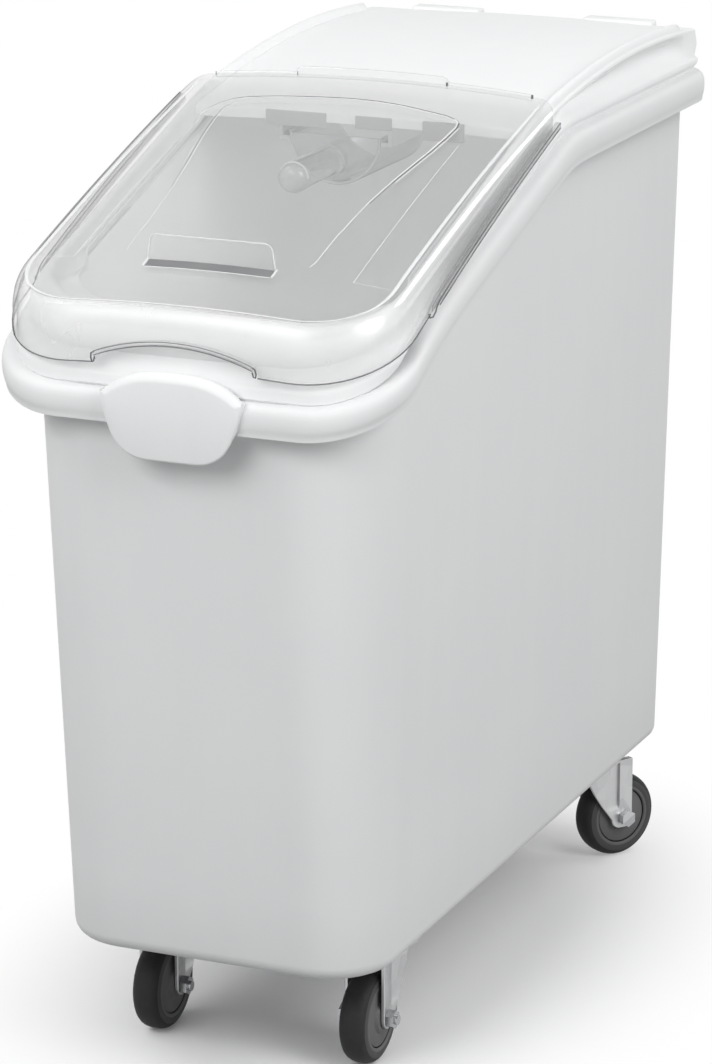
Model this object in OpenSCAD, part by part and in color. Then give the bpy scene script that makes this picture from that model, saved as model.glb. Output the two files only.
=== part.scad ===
// Rolling flour bin: a tapered tub on four swivel casters, closed by a white
// frame with a rear hood and a clear lid that lifts at the front.
// Millimetres. X is to the right, Y to the back, Z up; the floor is Z = 0.

/* [Tub] */
// Width over the rolled rim
rim_w = 330; // [300:1:360]
// Length from the front handle to the back of the rim
overall_l = 745; // [700:1:800]
// How far the rim stands out past the walls
rim_over = 20; // [14:1:24]
// Height of the rolled rim
rim_h = 24; // [20:1:28]
// Wall thickness of the tub
wall = 3.2; // [2.5:0.1:4]
// Floor thickness of the tub
floor_t = 5; // [4:0.5:7]
// Width of the tub at its floor
floor_w = 266; // [250:1:272]
// Set-back of the floor's front edge from the rim's front
floor_front_set = 51; // [45:1:60]
// Set-back of the floor's rear edge from the rim's rear
floor_rear_set = 21; // [20:1:30]
// Plan radius of the rim's front corners
corner_front = 62; // [55:1:75]
// Plan radius of the rim's rear corners
corner_rear = 46; // [42:1:54]
// Plan radius of the walls' front corners under the rim
wall_corner_front = 72; // [55:1:80]
// Plan radius of the floor's front corners
floor_corner_front = 53; // [40:1:65]
// Plan radius of the walls' rear corners
wall_corner_rear = 26; // [20:1:34]
// Fillet between the floor and the walls
floor_fillet = 12; // [8:1:16]

/* [Rim line] */
// Height of the rim's top at the rear
rim_z = 699; // [670:1:715]
// Place along Y where the level rim turns down to the front
bend_y = 26; // [10:1:50]
// Slope of the front part of the rim, in degrees
rim_slope = 16.6; // [15:0.1:18]
// Length at the front over which the rim curves down further
dip_l = 177; // [150:1:200]
// Extra drop of the rim at the front edge
dip_h = 32; // [20:1:36]

/* [Lid frame] */
// Height of the frame's crown where the middle plane crosses Y = 0
crown_z0 = 722.5; // [716:0.5:724]
// Slope of the frame's crown along the window, in degrees
crown_slope = 18; // [17.5:0.1:18.5]
// Wall thickness of the frame
frame_wall = 3.5; // [3:0.1:4.5]
// Set-in of the frame's foot from the rim's edge
frame_set = 9; // [8:1:12]
// Set-in of the frame's wall above its foot, from the lid's edge
frame_wall_set = 9; // [8:0.5:11]
// Plan radius of the frame's front corners, measured at the lid's edge
frame_corner = 81; // [77:1:85]
// Set-in of the crown's outer edge, from the lid's edge
crown_set = 15; // [14:0.5:17]
// Width of the crown's flat top along the sides
crown_w = 10; // [8:0.5:11]
// Height of the upright band at the foot of the frame
frame_band = 9; // [7:1:11]
// Depth of the scoop in the hood's flanks
flank_scoop = 9; // [4:1:12]
// Height of the hood's highest point
hood_top_z = 744.5; // [743:0.5:755]
// Distance of the hood's highest point behind the lid's bead
hood_top_back = 224; // [205:1:245]
// Radius of the hood's arc from front to back
hood_r = 1200; // [1100:1:1300]
// How far the hood reaches in front of the lid's bead
hood_reach = 34; // [25:1:45]
// Width of the step between the crown and the window
window_step = 4; // [2:0.5:8]
// Depth of the shelf in front of the window
window_shelf = 64; // [56:1:70]
// Distance of the rear stops from the middle plane
stop_from = 48; // [40:1:60]
// Width of a rear stop
stop_w = 62; // [50:1:70]
// Height of a rear stop above the hood's rear edge
stop_h = 2; // [1:0.5:4]
// Distance of the rear stops from the rear of the rim
stop_set = 5; // [4:0.5:8]

/* [Clear lid] */
// Thickness of the lid's sheet
lid_t = 3; // [2.5:0.1:3.5]
// Width over the lid's side skirts
lid_w = 320; // [314:1:326]
// Gap from the rim's front edge to the lid's front skirt
lid_front_set = 5; // [4:0.5:7]
// Plan radius of the lid's front corners
lid_corner = 85; // [70:1:95]
// Slope of the lid's sheet, in degrees
lid_slope = 17; // [16.6:0.1:17.2]
// Rise of the sheet above its chord at mid length
lid_sag = 6; // [4:0.5:8]
// Radius of the sheet's crown from side to side
lid_crown_r = 1500; // [1300:10:2000]
// Depth of the skirt at the front
skirt_front = 41; // [36:1:43]
// Depth of the skirt where the side lips start
skirt_mid = 30; // [26:1:32]
// Depth of the skirt at the rear
skirt_rear = 15; // [12:1:16]
// Radius of the round bead along the lid's rear edge
bead_r = 3; // [2.5:0.1:3.5]
// Distance of the bead, the axis on which the lid tips, from the rim's bend
bead_set = 22; // [16:1:30]
// Half length of the bead
bead_half = 137; // [135.5:0.5:139]
// Half width of the arched cut-out over the front handle
arch_half = 66; // [64:1:70]
// Height of the arched cut-out
arch_h = 21; // [18:1:24]
// Half width of the finger tab
finger_half = 51; // [45:1:58]
// Height of the finger tab
finger_h = 20; // [16:1:24]
// Distance of the finger tab from the lid's front
finger_set = 65; // [57:1:75]
// Half width of the rear tab
rear_tab_half = 63; // [55:1:70]
// Height of the rear tab above the sheet
rear_tab_h = 8; // [6:1:9]

/* [Front handle] */
// Thickness of the handle plate
handle_t = 4.2; // [3:0.1:5]
// Gap between the handle plate and the rim
handle_gap = 1.3; // [0.8:0.1:2]
// Half width of the handle plate
handle_half = 60; // [54:1:62]
// Half width of the handle plate at its lower edge
handle_low_half = 44; // [38:1:48]
// Drop of the handle plate below the front of the rim's top
handle_drop = 47.5; // [40:0.5:54]
// Rise of the handle's top above the front of the rim's top
handle_rise = 18.5; // [16:0.5:20]

/* [Scoop] */
// Radius of the scoop's bowl
scoop_r = 40; // [34:1:43]
// Length of the scoop's bowl
scoop_l = 110; // [90:1:120]
// Wall thickness of the scoop
scoop_t = 2.5; // [2:0.1:3]
// Length of the scoop's handle
scoop_handle_l = 80; // [60:1:90]
// Diameter of the scoop's handle
scoop_handle_d = 25; // [20:1:28]
// Place along X of the scoop
scoop_x = -50; // [-58:1:-46]
// Distance of the bowl's end next to the handle from the hood's front edge
scoop_set = 75; // [65:1:85]
// Height of the scoop's rim
scoop_z = 679; // [673:1:683]

/* [Casters] */
// Wheel diameter
wheel_d = 75; // [70:1:78]
// Width of the tyre
wheel_w = 24; // [20:1:26]
// Height of a caster, floor to plate top
caster_h = 102.5; // [100:0.5:110]
// Horizontal offset of the axle from the swivel pin
trail = 30; // [26:1:34]
// Distance of the swivel pins from the middle plane
caster_x = 89; // [84:1:90]
// Distance of the front swivel pins from the front of the rim
caster_front_set = 185; // [167:1:197]
// Distance of the rear swivel pins from the rear of the rim
caster_rear_set = 92.5; // [88:0.5:108]
// Diameter of the hub
hub_d = 52; // [46:1:56]
// Diameter of the axle bolt
axle_d = 8; // [6:0.5:10]
// Diameter of the swivel pin
pin_d = 10; // [8:0.5:12]
// Diameter of a race ball
ball_d = 6; // [5:0.5:7]
// Balls in a race
ball_count = 14; // [10:1:16]
// Thickness of the fork's sheet
fork_t = 3; // [2.5:0.1:3.5]
// Plate width across the bin
plate_w = 60; // [58:1:64]
// Plate length along the bin
plate_l = 86; // [80:1:92]
// Plate thickness
plate_t = 3; // [2.5:0.1:4]
// Diameter of the plate's bolts
bolt_d = 6; // [5:0.5:6.5]

/* [Hidden] */
$fn = 48;
// Facets of large arcs
fine = 128;
// Cut overrun past a surface
over = 1;
// Seat clearance between pieces that stay together
seat = 0.2;
// Running clearance, on the radius
run = 0.05;
// Clearance between a moving piece and a still one
clear = 0.3;

rim_half = rim_w / 2;
rim_front = -overall_l / 2 + handle_t + handle_gap;
rim_rear = overall_l / 2;
lid_half = lid_w / 2;
lid_front = rim_front + lid_front_set;
bead_y = bend_y - bead_set;
hood_front_y = bead_y - hood_reach;
hood_top_y = bead_y + hood_top_back;
scoop_y = hood_front_y + scoop_set;
caster_front_y = rim_front + caster_front_set;
caster_rear_y = rim_rear - caster_rear_set;
side_lean = atan((rim_half - rim_over - floor_w / 2) / (rim_z - rim_h - caster_h));
front_lean = atan((floor_front_set - rim_over) / (front_rim_z() - rim_h - caster_h));
rear_lean = atan((floor_rear_set - rim_over) / (rim_z - rim_h - caster_h));

// Steps along the parts of a plan outline
front_steps = 4;
corner_steps = 6;
slope_steps = 14;
level_steps = 5;

// Casters: name, side, place along Y and the turn about the swivel pin
CASTERS = ["front_left", "front_right", "rear_left", "rear_right"];
caster_signs = [-1, 1, -1, 1];
caster_ys = [caster_front_y, caster_front_y, caster_rear_y, caster_rear_y];
caster_turns = [0, 0, 200, 147];
PIECES = ["plate", "kingpin", "balls", "fork", "axle_bolt", "axle_nut", "axle_sleeve", "hub", "tyre"];

// Heights that follow the rim line
function dip(y) = y > rim_front + dip_l ? 0 : dip_h * pow((rim_front + dip_l - y) / dip_l, 2);
function rim_top(y) = y > bend_y ? rim_z : rim_z - (bend_y - y) * tan(rim_slope) - dip(y);
function front_rim_z() = rim_top(rim_front + rim_over);
function hood_arc(y) = hood_top_z - pow(hood_top_y - y, 2) / (2 * hood_r);
function crest_z(y) = min(crown_z0 + y * tan(crown_slope), hood_arc(y));

// Plan outlines: a ring of points from the middle of the front, counter-clockwise
function between(a, b, share) = a + (b - a) * share;

function arc_points(cx, cy, r, from, to) =
    [for (i = [0:corner_steps]) let (a = from + (to - from) * i / corner_steps) [cx + r * cos(a), cy + r * sin(a)]];

function right_half(half, front, rear, r_front, r_rear) = concat(
    [for (i = [0:front_steps - 1]) [(half - r_front) * i / front_steps, front]],
    arc_points(half - r_front, front + r_front, r_front, -90, 0),
    [for (i = [1:slope_steps]) [half, between(front + r_front, bend_y, i / slope_steps)]],
    [for (i = [1:level_steps - 1]) [half, between(bend_y, rear - r_rear, i / level_steps)]],
    arc_points(half - r_rear, rear - r_rear, r_rear, 0, 90),
    [for (i = [front_steps - 1:-1:0]) [(half - r_rear) * i / front_steps, rear]]
);

function whole(half) = concat(half, [for (i = [len(half) - 2:-1:1]) [-half[i][0], half[i][1]]]);

// The outlines of the rim, set in from its edge, and of the frame's crown, set in from the lid's edge
min_corner = 4;
rear_ledge = 5;
function edge_plan(half, front, rear, set, r_front, r_rear) = whole(right_half(
    half - set,
    front + set,
    rear - set,
    max(r_front - set, min_corner),
    max(r_rear - set, min_corner)
));
function rim_plan(set) = edge_plan(rim_half, rim_front, rim_rear, set, corner_front, corner_rear);
function crown_plan(set) =
    edge_plan(lid_half, lid_front, rim_rear - rear_ledge, set, frame_corner, corner_rear - rear_ledge);

// The tub wall's outline at a height, set in by a distance
function wall_plan(z, set) = let (
    up = z - caster_h,
    front = rim_front + floor_front_set - up * tan(front_lean) + set,
    rear = rim_rear - floor_rear_set + up * tan(rear_lean) - set,
    half = floor_w / 2 + up * tan(side_lean) - set,
    up_share = up / (rim_z - rim_h - caster_h)
) whole(right_half(
    half,
    front,
    rear,
    max(between(floor_corner_front, wall_corner_front, up_share) - set, min_corner),
    max(wall_corner_rear - set, min_corner)
));

plan_count = len(rim_plan(0));

// Height of the rim's top at each point of the outline
rim_tops = [for (p = rim_plan(rim_over)) rim_top(p[1])];

// Closed skins made by joining rings of points
function strip_faces(n, j, k) = [for (i = [0:n - 1]) each [
    [j * n + i, k * n + i, k * n + (i + 1) % n],
    [j * n + i, k * n + (i + 1) % n, j * n + (i + 1) % n]
]];

function fan(base, n, centre) = [for (i = [0:n - 1]) [base + i, base + (i + 1) % n, centre]];
function flipped(faces) = [for (f = faces) [f[0], f[2], f[1]]];

// A loft whose two ends are closed by fans about a centre point each
module capped_loft(rings, start, end) {
    n = len(rings[0]);
    m = len(rings);
    polyhedron(
        points = concat([for (r = rings) each r], [start, end]),
        faces = concat(
            [for (j = [0:m - 2]) each strip_faces(n, j, j + 1)],
            fan(0, n, m * n),
            flipped(fan((m - 1) * n, n, m * n + 1))
        )
    );
}

module closed_loft(rings) {
    n = len(rings[0]);
    m = len(rings);
    polyhedron(
        points = [for (r = rings) each r],
        faces = [for (j = [0:m - 1]) each strip_faces(n, j, (j + 1) % m)]
    );
}

// Tub with its rolled rim and the bosses that take the casters
roll_angles = [-60, -30, 0, 30, 60, 80];
roll_power_share = 0.6;
boss_h = 9;
insert_wall = 1.5;
insert_d = bolt_d + 2 * insert_wall;
insert_l = floor_t + boss_h - wall;
bolt_x = plate_w / 2 - bolt_d - plate_t;
bolt_y = plate_l / 2 - bolt_d - plate_t;

function roll_ring(angle) = let (outer = rim_plan(0)) [
    for (i = [0:plan_count - 1])
        let (
            top = rim_tops[i],
            at_wall = wall_plan(top - rim_h / 2, 0)[i],
            share = pow(cos(angle), roll_power_share),
            p = at_wall + (outer[i] - at_wall) * share
        ) [p[0], p[1], top - rim_h / 2 + rim_h / 2 * sin(angle)]
];

function wall_ring(drop, set) = [
    for (i = [0:plan_count - 1])
        let (z = rim_tops[i] - drop, p = wall_plan(z, set)[i]) [p[0], p[1], z]
];

function level_ring(z, set) = [for (p = wall_plan(z, set)) [p[0], p[1], z]];

module tub_skin() {
    inner_floor = caster_h + floor_t;
    inner_fillet = floor_fillet - wall;
    round_share = 0.3;
    capped_loft(concat(
        [level_ring(caster_h, floor_fillet)],
        [level_ring(caster_h + floor_fillet * round_share, floor_fillet * round_share)],
        [level_ring(caster_h + floor_fillet, 0)],
        [wall_ring(rim_h, 0)],
        [for (a = roll_angles) roll_ring(a)],
        [wall_ring(0, 0)],
        [wall_ring(0, wall)],
        [level_ring(inner_floor + inner_fillet, wall)],
        [level_ring(inner_floor + inner_fillet * round_share, wall + inner_fillet * round_share)],
        [level_ring(inner_floor, wall + inner_fillet)]
    ), [0, 0, caster_h], [0, 0, inner_floor]);
}

module at_casters() {
    for (i = [0:len(CASTERS) - 1])
        translate([caster_signs[i] * caster_x, caster_ys[i], 0]) children();
}

module at_plate_bolts() {
    for (sx = [-1, 1])
        for (sy = [-1, 1])
            translate([sx * bolt_x, sy * bolt_y, 0]) children();
}

module tub() {
    color("gainsboro")
    difference() {
        union() {
            tub_skin();
            at_casters()
                translate([-plate_w / 2, -plate_l / 2, caster_h + floor_t / 2])
                    cube([plate_w, plate_l, floor_t / 2 + boss_h]);
        }
        at_casters()
            at_plate_bolts()
                translate([0, 0, caster_h - over]) cylinder(d = insert_d + 2 * run, h = insert_l + over);
    }
}

// White frame on the rim: window ring in front, hood behind
lip_t = 3;
hood_t = 3;
hood_drop = 5.5;
hood_half = lid_half - crown_set - crown_w;
hood_rear = rim_rear - rear_ledge - crown_set - crown_w / 2;
window_half = hood_half - window_step;
foot_w = 8.5;
ledge_rise = 1;
front_band_share = 0.6;
frame_front = on_rim(frame_set)[0][1];
edge_h = 8;
rail_t = 3;
rail_share = 0.8;
ledge_w = 6;
crown_drop_share = 0.05;

function on_rim(set) = let (outer = rim_plan(0)) [
    for (i = [0:plan_count - 1]) between(outer[i], wall_plan(rim_tops[i], 0)[i], set / rim_over)
];
function foot_ring(plan, up) = [for (i = [0:plan_count - 1]) [plan[i][0], plan[i][1], rim_tops[i] + up]];
function band_ring(plan, up) = [
    for (i = [0:plan_count - 1])
        [plan[i][0], plan[i][1], rim_tops[i] + frame_band * (plan[i][1] > bend_y ? 1 : front_band_share) + up]
];
function crest_ring(set, down) = [for (p = crown_plan(set)) [p[0], p[1], crest_z(p[1]) - down]];
function scooped_ring(set) = let (full = crown_plan(set), deep = crown_plan(set + flank_scoop)) [
    for (i = [0:plan_count - 1])
        let (q = full[i][1] > bend_y ? deep[i] : full[i])
            [q[0], q[1], (rim_tops[i] + crest_z(full[i][1])) / 2]
];
function window_ring(drop) = let (
    outer = crown_plan(crown_set),
    inner = whole(right_half(
        window_half,
        rim_front + window_shelf,
        rim_rear - rear_ledge - crown_set - crown_w - window_step,
        corner_front,
        min_corner
    ))
) [for (i = [0:plan_count - 1]) [inner[i][0], inner[i][1], crest_z(outer[i][1]) - drop]];

module frame_skin() {
    shoulder = frame_wall / 2;
    closed_loft([
        foot_ring(on_rim(frame_set), seat),
        band_ring(on_rim(frame_set), 0),
        band_ring(crown_plan(frame_wall_set), ledge_rise),
        scooped_ring(frame_wall_set),
        crest_ring(frame_wall_set + shoulder / 2, 2 * lip_t),
        crest_ring(frame_wall_set + 2 * shoulder, shoulder),
        crest_ring(crown_set, 0),
        crest_ring(crown_set + crown_w, crown_drop_share * crown_w),
        window_ring(lip_t),
        window_ring(2 * lip_t),
        crest_ring(frame_wall_set + frame_wall + shoulder, 3 * lip_t),
        scooped_ring(frame_wall_set + frame_wall),
        band_ring(on_rim(frame_set + foot_w), -lip_t),
        foot_ring(on_rim(frame_set + foot_w), seat)
    ]);
}

module along_x(half) {
    rotate([90, 0, 90]) translate([0, 0, -half]) linear_extrude(height = 2 * half) children();
}

module hood_sheet() {
    steps = 10;
    ys = [for (i = [0:steps]) hood_front_y + (hood_rear - hood_front_y) * i / steps];
    along_x(hood_half)
        polygon(concat(
            [for (y = ys) [y, hood_arc(y) - hood_drop]],
            [for (i = [steps:-1:0]) [ys[i], hood_arc(ys[i]) - hood_drop - hood_t]]
        ));
    translate([-hood_half, hood_front_y, hood_arc(hood_front_y) - hood_drop - edge_h])
        cube([2 * hood_half, hood_t, edge_h]);
}

module scoop_rails() {
    ledge_z = scoop_z - scoop_t - clear;
    bowl_half = scoop_r + ledge_w;
    rail_l = scoop_l * rail_share;
    for (s = [-1, 1])
        translate([scoop_x, scoop_y, 0]) {
            translate([s * (bowl_half + clear + rail_t / 2) - rail_t / 2, 0, ledge_z - rail_t])
                cube([rail_t, rail_l, hood_arc(scoop_y) - hood_drop - hood_t / 2 - ledge_z + rail_t]);
            translate([s * (bowl_half + clear - ledge_w / 2) - ledge_w / 2, 0, ledge_z - rail_t])
                cube([ledge_w, rail_l, rail_t]);
        }
}

module hood_stops() {
    foot = hood_drop + hood_t;
    for (s = [-1, 1])
        translate([s * (stop_from + stop_w / 2) - stop_w / 2, hood_rear, hood_arc(hood_rear) - foot])
            cube([stop_w, rim_rear - stop_set - hood_rear, foot + stop_h]);
}

module lid_frame() {
    color("white") {
        frame_skin();
        hood_sheet();
        scoop_rails();
        hood_stops();
    }
}

// Pull handle that hangs over the front of the rim
handle_top_z = front_rim_z() + handle_rise;
handle_low_z = front_rim_z() - handle_drop;
handle_bend = 12;

module handle_side() {
    back = frame_front - seat;
    front = -overall_l / 2;
    polygon([
        [back, handle_top_z - handle_bend / 4],
        [front + handle_bend / 2, handle_top_z],
        [front + handle_bend / 6, handle_top_z - handle_bend / 3],
        [front, handle_top_z - handle_bend],
        [front, handle_low_z],
        [front + handle_t, handle_low_z],
        [front + handle_t, front_rim_z() + handle_gap],
        [back, front_rim_z() + handle_gap]
    ]);
}

module handle_front() {
    mid_z = (handle_top_z + handle_low_z) / 2;
    low_r = 16;
    top_r = (pow(handle_half, 2) + pow(handle_bend, 2)) / (2 * handle_bend);
    intersection() {
        union() {
            polygon([
                [-handle_half, handle_top_z],
                [-handle_half, mid_z],
                [-handle_low_half, handle_low_z + low_r],
                [handle_low_half, handle_low_z + low_r],
                [handle_half, mid_z],
                [handle_half, handle_top_z]
            ]);
            for (s = [-1, 1])
                translate([s * (handle_low_half - low_r), handle_low_z + low_r]) circle(r = low_r);
            translate([low_r - handle_low_half, handle_low_z]) square([2 * (handle_low_half - low_r), 2 * low_r]);
        }
        translate([0, handle_top_z - top_r]) circle(r = top_r, $fn = fine);
    }
}

module front_handle() {
    color("whitesmoke")
    intersection() {
        along_x(handle_half + over) handle_side();
        translate([0, rim_front + frame_set, 0])
            rotate([90, 0, 0])
                linear_extrude(height = frame_set + handle_t + handle_gap + over) handle_front();
    }
}

// Clear lid: a crowned sheet with skirts, tipping on the bead at its rear edge
finger_y = lid_front + finger_set;
lid_rear = bead_y + 2 * bead_half;
lid_mid = (lid_front + bead_y) / 2;
bead_z = crest_z(bead_y) + clear + bead_r;
lid_lip_from = finger_y + finger_h + 2 * skirt_mid;
lid_round_share = 0.65;
lip_h = 5;
lip_out = 3;
finger_t = 3;
finger_corner = 8;

function lid_line(y) = let (span = (bead_y - lid_front) / 2)
    bead_z + bead_r - (bead_y - y) * tan(lid_slope) + lid_sag * (1 - pow((y - lid_mid) / span, 2));
function lid_z(p) = lid_line(p[1]) + (pow(bead_half, 2) - pow(p[0], 2)) / (2 * lid_crown_r);
function skirt(y) = lookup(y, [[lid_front, skirt_front], [lid_lip_from, skirt_mid], [bead_y, skirt_rear]]);

function lid_plan(sets) = let (n = plan_count, flat = lid_outline(0), deep = lid_outline(lid_corner / 2)) [
    for (i = [0:n - 1]) flat[i] + (deep[i] - flat[i]) * sets[i] / (lid_corner / 2)
];
function lid_outline(set) = whole(right_half(
    lid_half - set,
    lid_front + set,
    lid_rear - set,
    lid_corner - set,
    lid_corner - set
));
function lid_ring(round_share, drop_share, set, drop) = let (
    edge = lid_outline(0),
    round = [for (p = edge) lid_round_share * skirt(min(p[1], bead_y))],
    plan = lid_plan([for (r = round) r * round_share + set])
) [for (i = [0:plan_count - 1]) [plan[i][0], plan[i][1], lid_z(plan[i]) - round[i] * drop_share - drop]];
function lid_hem(set) = let (plan = lid_plan([for (i = [1:plan_count]) set]))
    [for (p = plan) [p[0], p[1], lid_z(p) - skirt(min(p[1], bead_y))]];
function lid_inner(share, drop) = let (top = lid_ring(1, 0, 0, 0))
    [for (p = top) let (q = [p[0] * share, between(lid_mid, p[1], share)]) [q[0], q[1], lid_z(q) - drop]];
function lid_centre(drop) = [0, lid_mid, lid_z([0, lid_mid]) - drop];

module lid_skin() {
    half_round = 1 - cos(45);
    inner_shares = [0.35, 0.7];
    capped_loft([
        lid_inner(inner_shares[0], lid_t),
        lid_inner(inner_shares[1], lid_t),
        lid_ring(1, 0, lid_t / 2, lid_t),
        lid_ring(half_round, half_round, lid_t, lid_t / 2),
        lid_ring(0, 1, lid_t, 0),
        lid_hem(lid_t),
        lid_hem(0),
        lid_ring(0, 1, 0, 0),
        lid_ring(half_round, half_round, 0, 0),
        lid_ring(1, 0, 0, 0),
        lid_inner(inner_shares[1], 0),
        lid_inner(inner_shares[0], 0)
    ], lid_centre(lid_t), lid_centre(0));
}

module lid_rear_edge() {
    steps = 12;
    xs = [for (i = [0:steps]) bead_half * (2 * i / steps - 1)];
    translate([-bead_half, bead_y, bead_z]) rotate([0, 90, 0]) cylinder(r = bead_r, h = 2 * bead_half);
    translate([0, bead_y, 0])
        rotate([90, 0, 0])
            linear_extrude(height = lid_t)
                polygon(concat(
                    [for (x = xs) [x, lid_z([x, bead_y])]],
                    [[bead_half, bead_z], [-bead_half, bead_z]]
                ));
    translate([-rear_tab_half, bead_y - lid_t, bead_z])
        cube([2 * rear_tab_half, lid_t, lid_z([0, bead_y]) + rear_tab_h - bead_z]);
}

module lid_side_lips() {
    steps = 6;
    ys = [for (i = [0:steps]) lid_lip_from + (bead_y - lid_lip_from) * i / steps];
    hem = [for (y = ys) lid_z([lid_half, y]) - skirt(y)];
    for (s = [-1, 1])
        translate([s * (lid_half + lip_out / 2 - lid_t / 2), 0, 0])
            along_x((lip_out + lid_t) / 2)
                polygon(concat(
                    [for (i = [0:steps]) [ys[i], hem[i]]],
                    [for (i = [steps:-1:0]) [ys[i], hem[i] + lip_h]]
                ));
}

arch_z = lid_z([0, lid_front]) - skirt_front;
arch_r = (pow(arch_half, 2) + pow(arch_h, 2)) / (2 * arch_h);

module arch_disc(r) {
    translate([0, lid_front + lid_t + over, arch_z + arch_h - arch_r])
        rotate([90, 0, 0]) cylinder(r = r, h = lid_t + lip_out + 2 * over, $fn = fine);
}

module arch_lip() {
    intersection() {
        difference() {
            translate([0, lid_front + lid_t, arch_z + arch_h - arch_r])
                rotate([90, 0, 0]) cylinder(r = arch_r + lid_t, h = lid_t + lip_out, $fn = fine);
            arch_disc(arch_r);
        }
        translate([-arch_half - lid_t, lid_front - lip_out, arch_z + over])
            cube([2 * (arch_half + lid_t), lip_out + lid_t, arch_h + lid_t]);
    }
}

module finger_tab() {
    base_z = lid_line(finger_y);
    translate([0, finger_y + finger_t / 2, base_z])
        rotate([90, 0, 0])
            linear_extrude(height = finger_t) {
                translate([-finger_half, 0]) square([2 * finger_half, finger_h - finger_corner]);
                translate([finger_corner - finger_half, 0]) square([2 * (finger_half - finger_corner), finger_h]);
                for (s = [-1, 1])
                    translate([s * (finger_half - finger_corner), finger_h - finger_corner])
                        circle(r = finger_corner);
            }
}

module clear_lid() {
    color("lightblue", 0.4) {
        difference() {
            lid_skin();
            translate([-lid_half - over, bead_y, bead_z - 2 * skirt_front])
                cube([lid_w + 2 * over, 2 * lid_w, 4 * skirt_front]);
            arch_disc(arch_r);
        }
        arch_lip();
        lid_rear_edge();
        lid_side_lips();
        finger_tab();
    }
}

// Scoop that rests by its rim on two ledges under the hood
mouth_lean = 25;

module scoop_bowl() {
    difference() {
        union() {
            rotate([-90, 0, 0]) cylinder(r = scoop_r, h = scoop_l);
            for (s = [-1, 1])
                translate([s * (scoop_r + ledge_w / 2 - scoop_t / 2) - (ledge_w + scoop_t) / 2, 0, -scoop_t])
                    cube([ledge_w + scoop_t, scoop_l, scoop_t]);
        }
        translate([0, scoop_t, 0]) rotate([-90, 0, 0]) cylinder(r = scoop_r - scoop_t, h = scoop_l);
        translate([-scoop_r - over, -over, 0]) cube([2 * (scoop_r + over), scoop_l + 2 * over, scoop_r + over]);
        translate([-scoop_r - ledge_w - over, scoop_l, -scoop_r])
            rotate([mouth_lean, 0, 0])
                translate([0, 0, -scoop_r]) cube([2 * (scoop_r + ledge_w + over), scoop_l, 3 * scoop_r]);
    }
}

module scoop_handle() {
    axis_z = -scoop_handle_d / 2 - scoop_t;
    translate([0, scoop_t / 2, axis_z]) rotate([90, 0, 0]) cylinder(d = scoop_handle_d, h = scoop_handle_l);
    translate([0, scoop_t / 2 - scoop_handle_l, axis_z]) sphere(d = scoop_handle_d);
}

module scoop() {
    color("lightblue", 0.4)
    translate([scoop_x, scoop_y, scoop_z]) {
        scoop_bowl();
        scoop_handle();
    }
}

// Fasteners of the caster plates
head_flats_share = 1.65;
head_h_share = 0.65;
thread_share = 0.8;
head_flats = bolt_d * head_flats_share;
head_h = bolt_d * head_h_share;

module hex(flats, h) {
    cylinder(d = flats / cos(30), h = h, $fn = 6);
}

module plate_bolts() {
    color("silver")
    at_casters()
        at_plate_bolts() {
            translate([0, 0, caster_h - plate_t - head_h]) hex(head_flats, head_h);
            translate([0, 0, caster_h - plate_t - head_h / 2])
                cylinder(d = bolt_d, h = plate_t + head_h / 2 + insert_l * thread_share);
        }
}

module thread_inserts() {
    color("goldenrod")
    at_casters()
        at_plate_bolts()
            translate([0, 0, caster_h])
                difference() {
                    cylinder(d = insert_d, h = insert_l - seat);
                    translate([0, 0, -over]) cylinder(d = bolt_d + 2 * run, h = insert_l + 2 * over);
                }
}

// Caster pieces, drawn about the swivel pin with the wheel trailing to the front
axle_z = wheel_d / 2;
wheel_gap = 2;
leg_in = wheel_w / 2 + wheel_gap;
leg_out = leg_in + fork_t;
race_gap_share = 0.85;
race_gap = ball_d * race_gap_share;
race_r = 2 * pin_d;
ball_z = caster_h - plate_t - race_gap / 2;
disc_z = caster_h - plate_t - race_gap;
disc_r = race_r + ball_d;
skirt_gap = 1.2;
skirt_t = 2;
skirt_h = race_gap + fork_t / 2;
pin_head_h = 3;
sleeve_wall = 2;
sleeve_d = axle_d + 2 * sleeve_wall;
leg_margin = 3;
leg_end_r = axle_d + leg_margin;
nut_flats = axle_d * head_flats_share;
nut_h_share = 0.8;
nut_h = axle_d * nut_h_share;
bolt_head_h = axle_d * head_h_share;
tyre_round_share = 0.45;
tyre_in = hub_d / 2 + run;
tyre_round = (wheel_d / 2 - tyre_in) * tyre_round_share;
face_set = 2;
hub_wall = 6;
hub_rim = 5;
boss_r = sleeve_d / 2 + hub_wall;
// Fork legs: widths at the disc and the waist as shares of the disc, and the tangent places at the axle
leg_back_share = 0.9;
leg_front_share = 0.7;
leg_waist_share = 0.4;
leg_near_turn = -18;
leg_far_turn = 168;

module race_groove() {
    translate([0, 0, ball_z])
        rotate_extrude()
            translate([race_r, 0]) circle(d = ball_d + 2 * clear);
}

module plate() {
    color("silver")
    difference() {
        union() {
            translate([-plate_w / 2, -plate_l / 2, caster_h - plate_t]) cube([plate_w, plate_l, plate_t]);
            translate([0, 0, caster_h - plate_t - skirt_h])
                difference() {
                    cylinder(r = disc_r + skirt_gap + skirt_t, h = skirt_h + plate_t / 2);
                    translate([0, 0, -over]) cylinder(r = disc_r + skirt_gap, h = skirt_h + over);
                }
        }
        at_plate_bolts()
            translate([0, 0, caster_h - plate_t - over]) cylinder(d = bolt_d + 2 * seat, h = plate_t + 2 * over);
        translate([0, 0, caster_h - plate_t - over]) cylinder(d = pin_d + 2 * run, h = plate_t + 2 * over);
        race_groove();
    }
}

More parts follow.
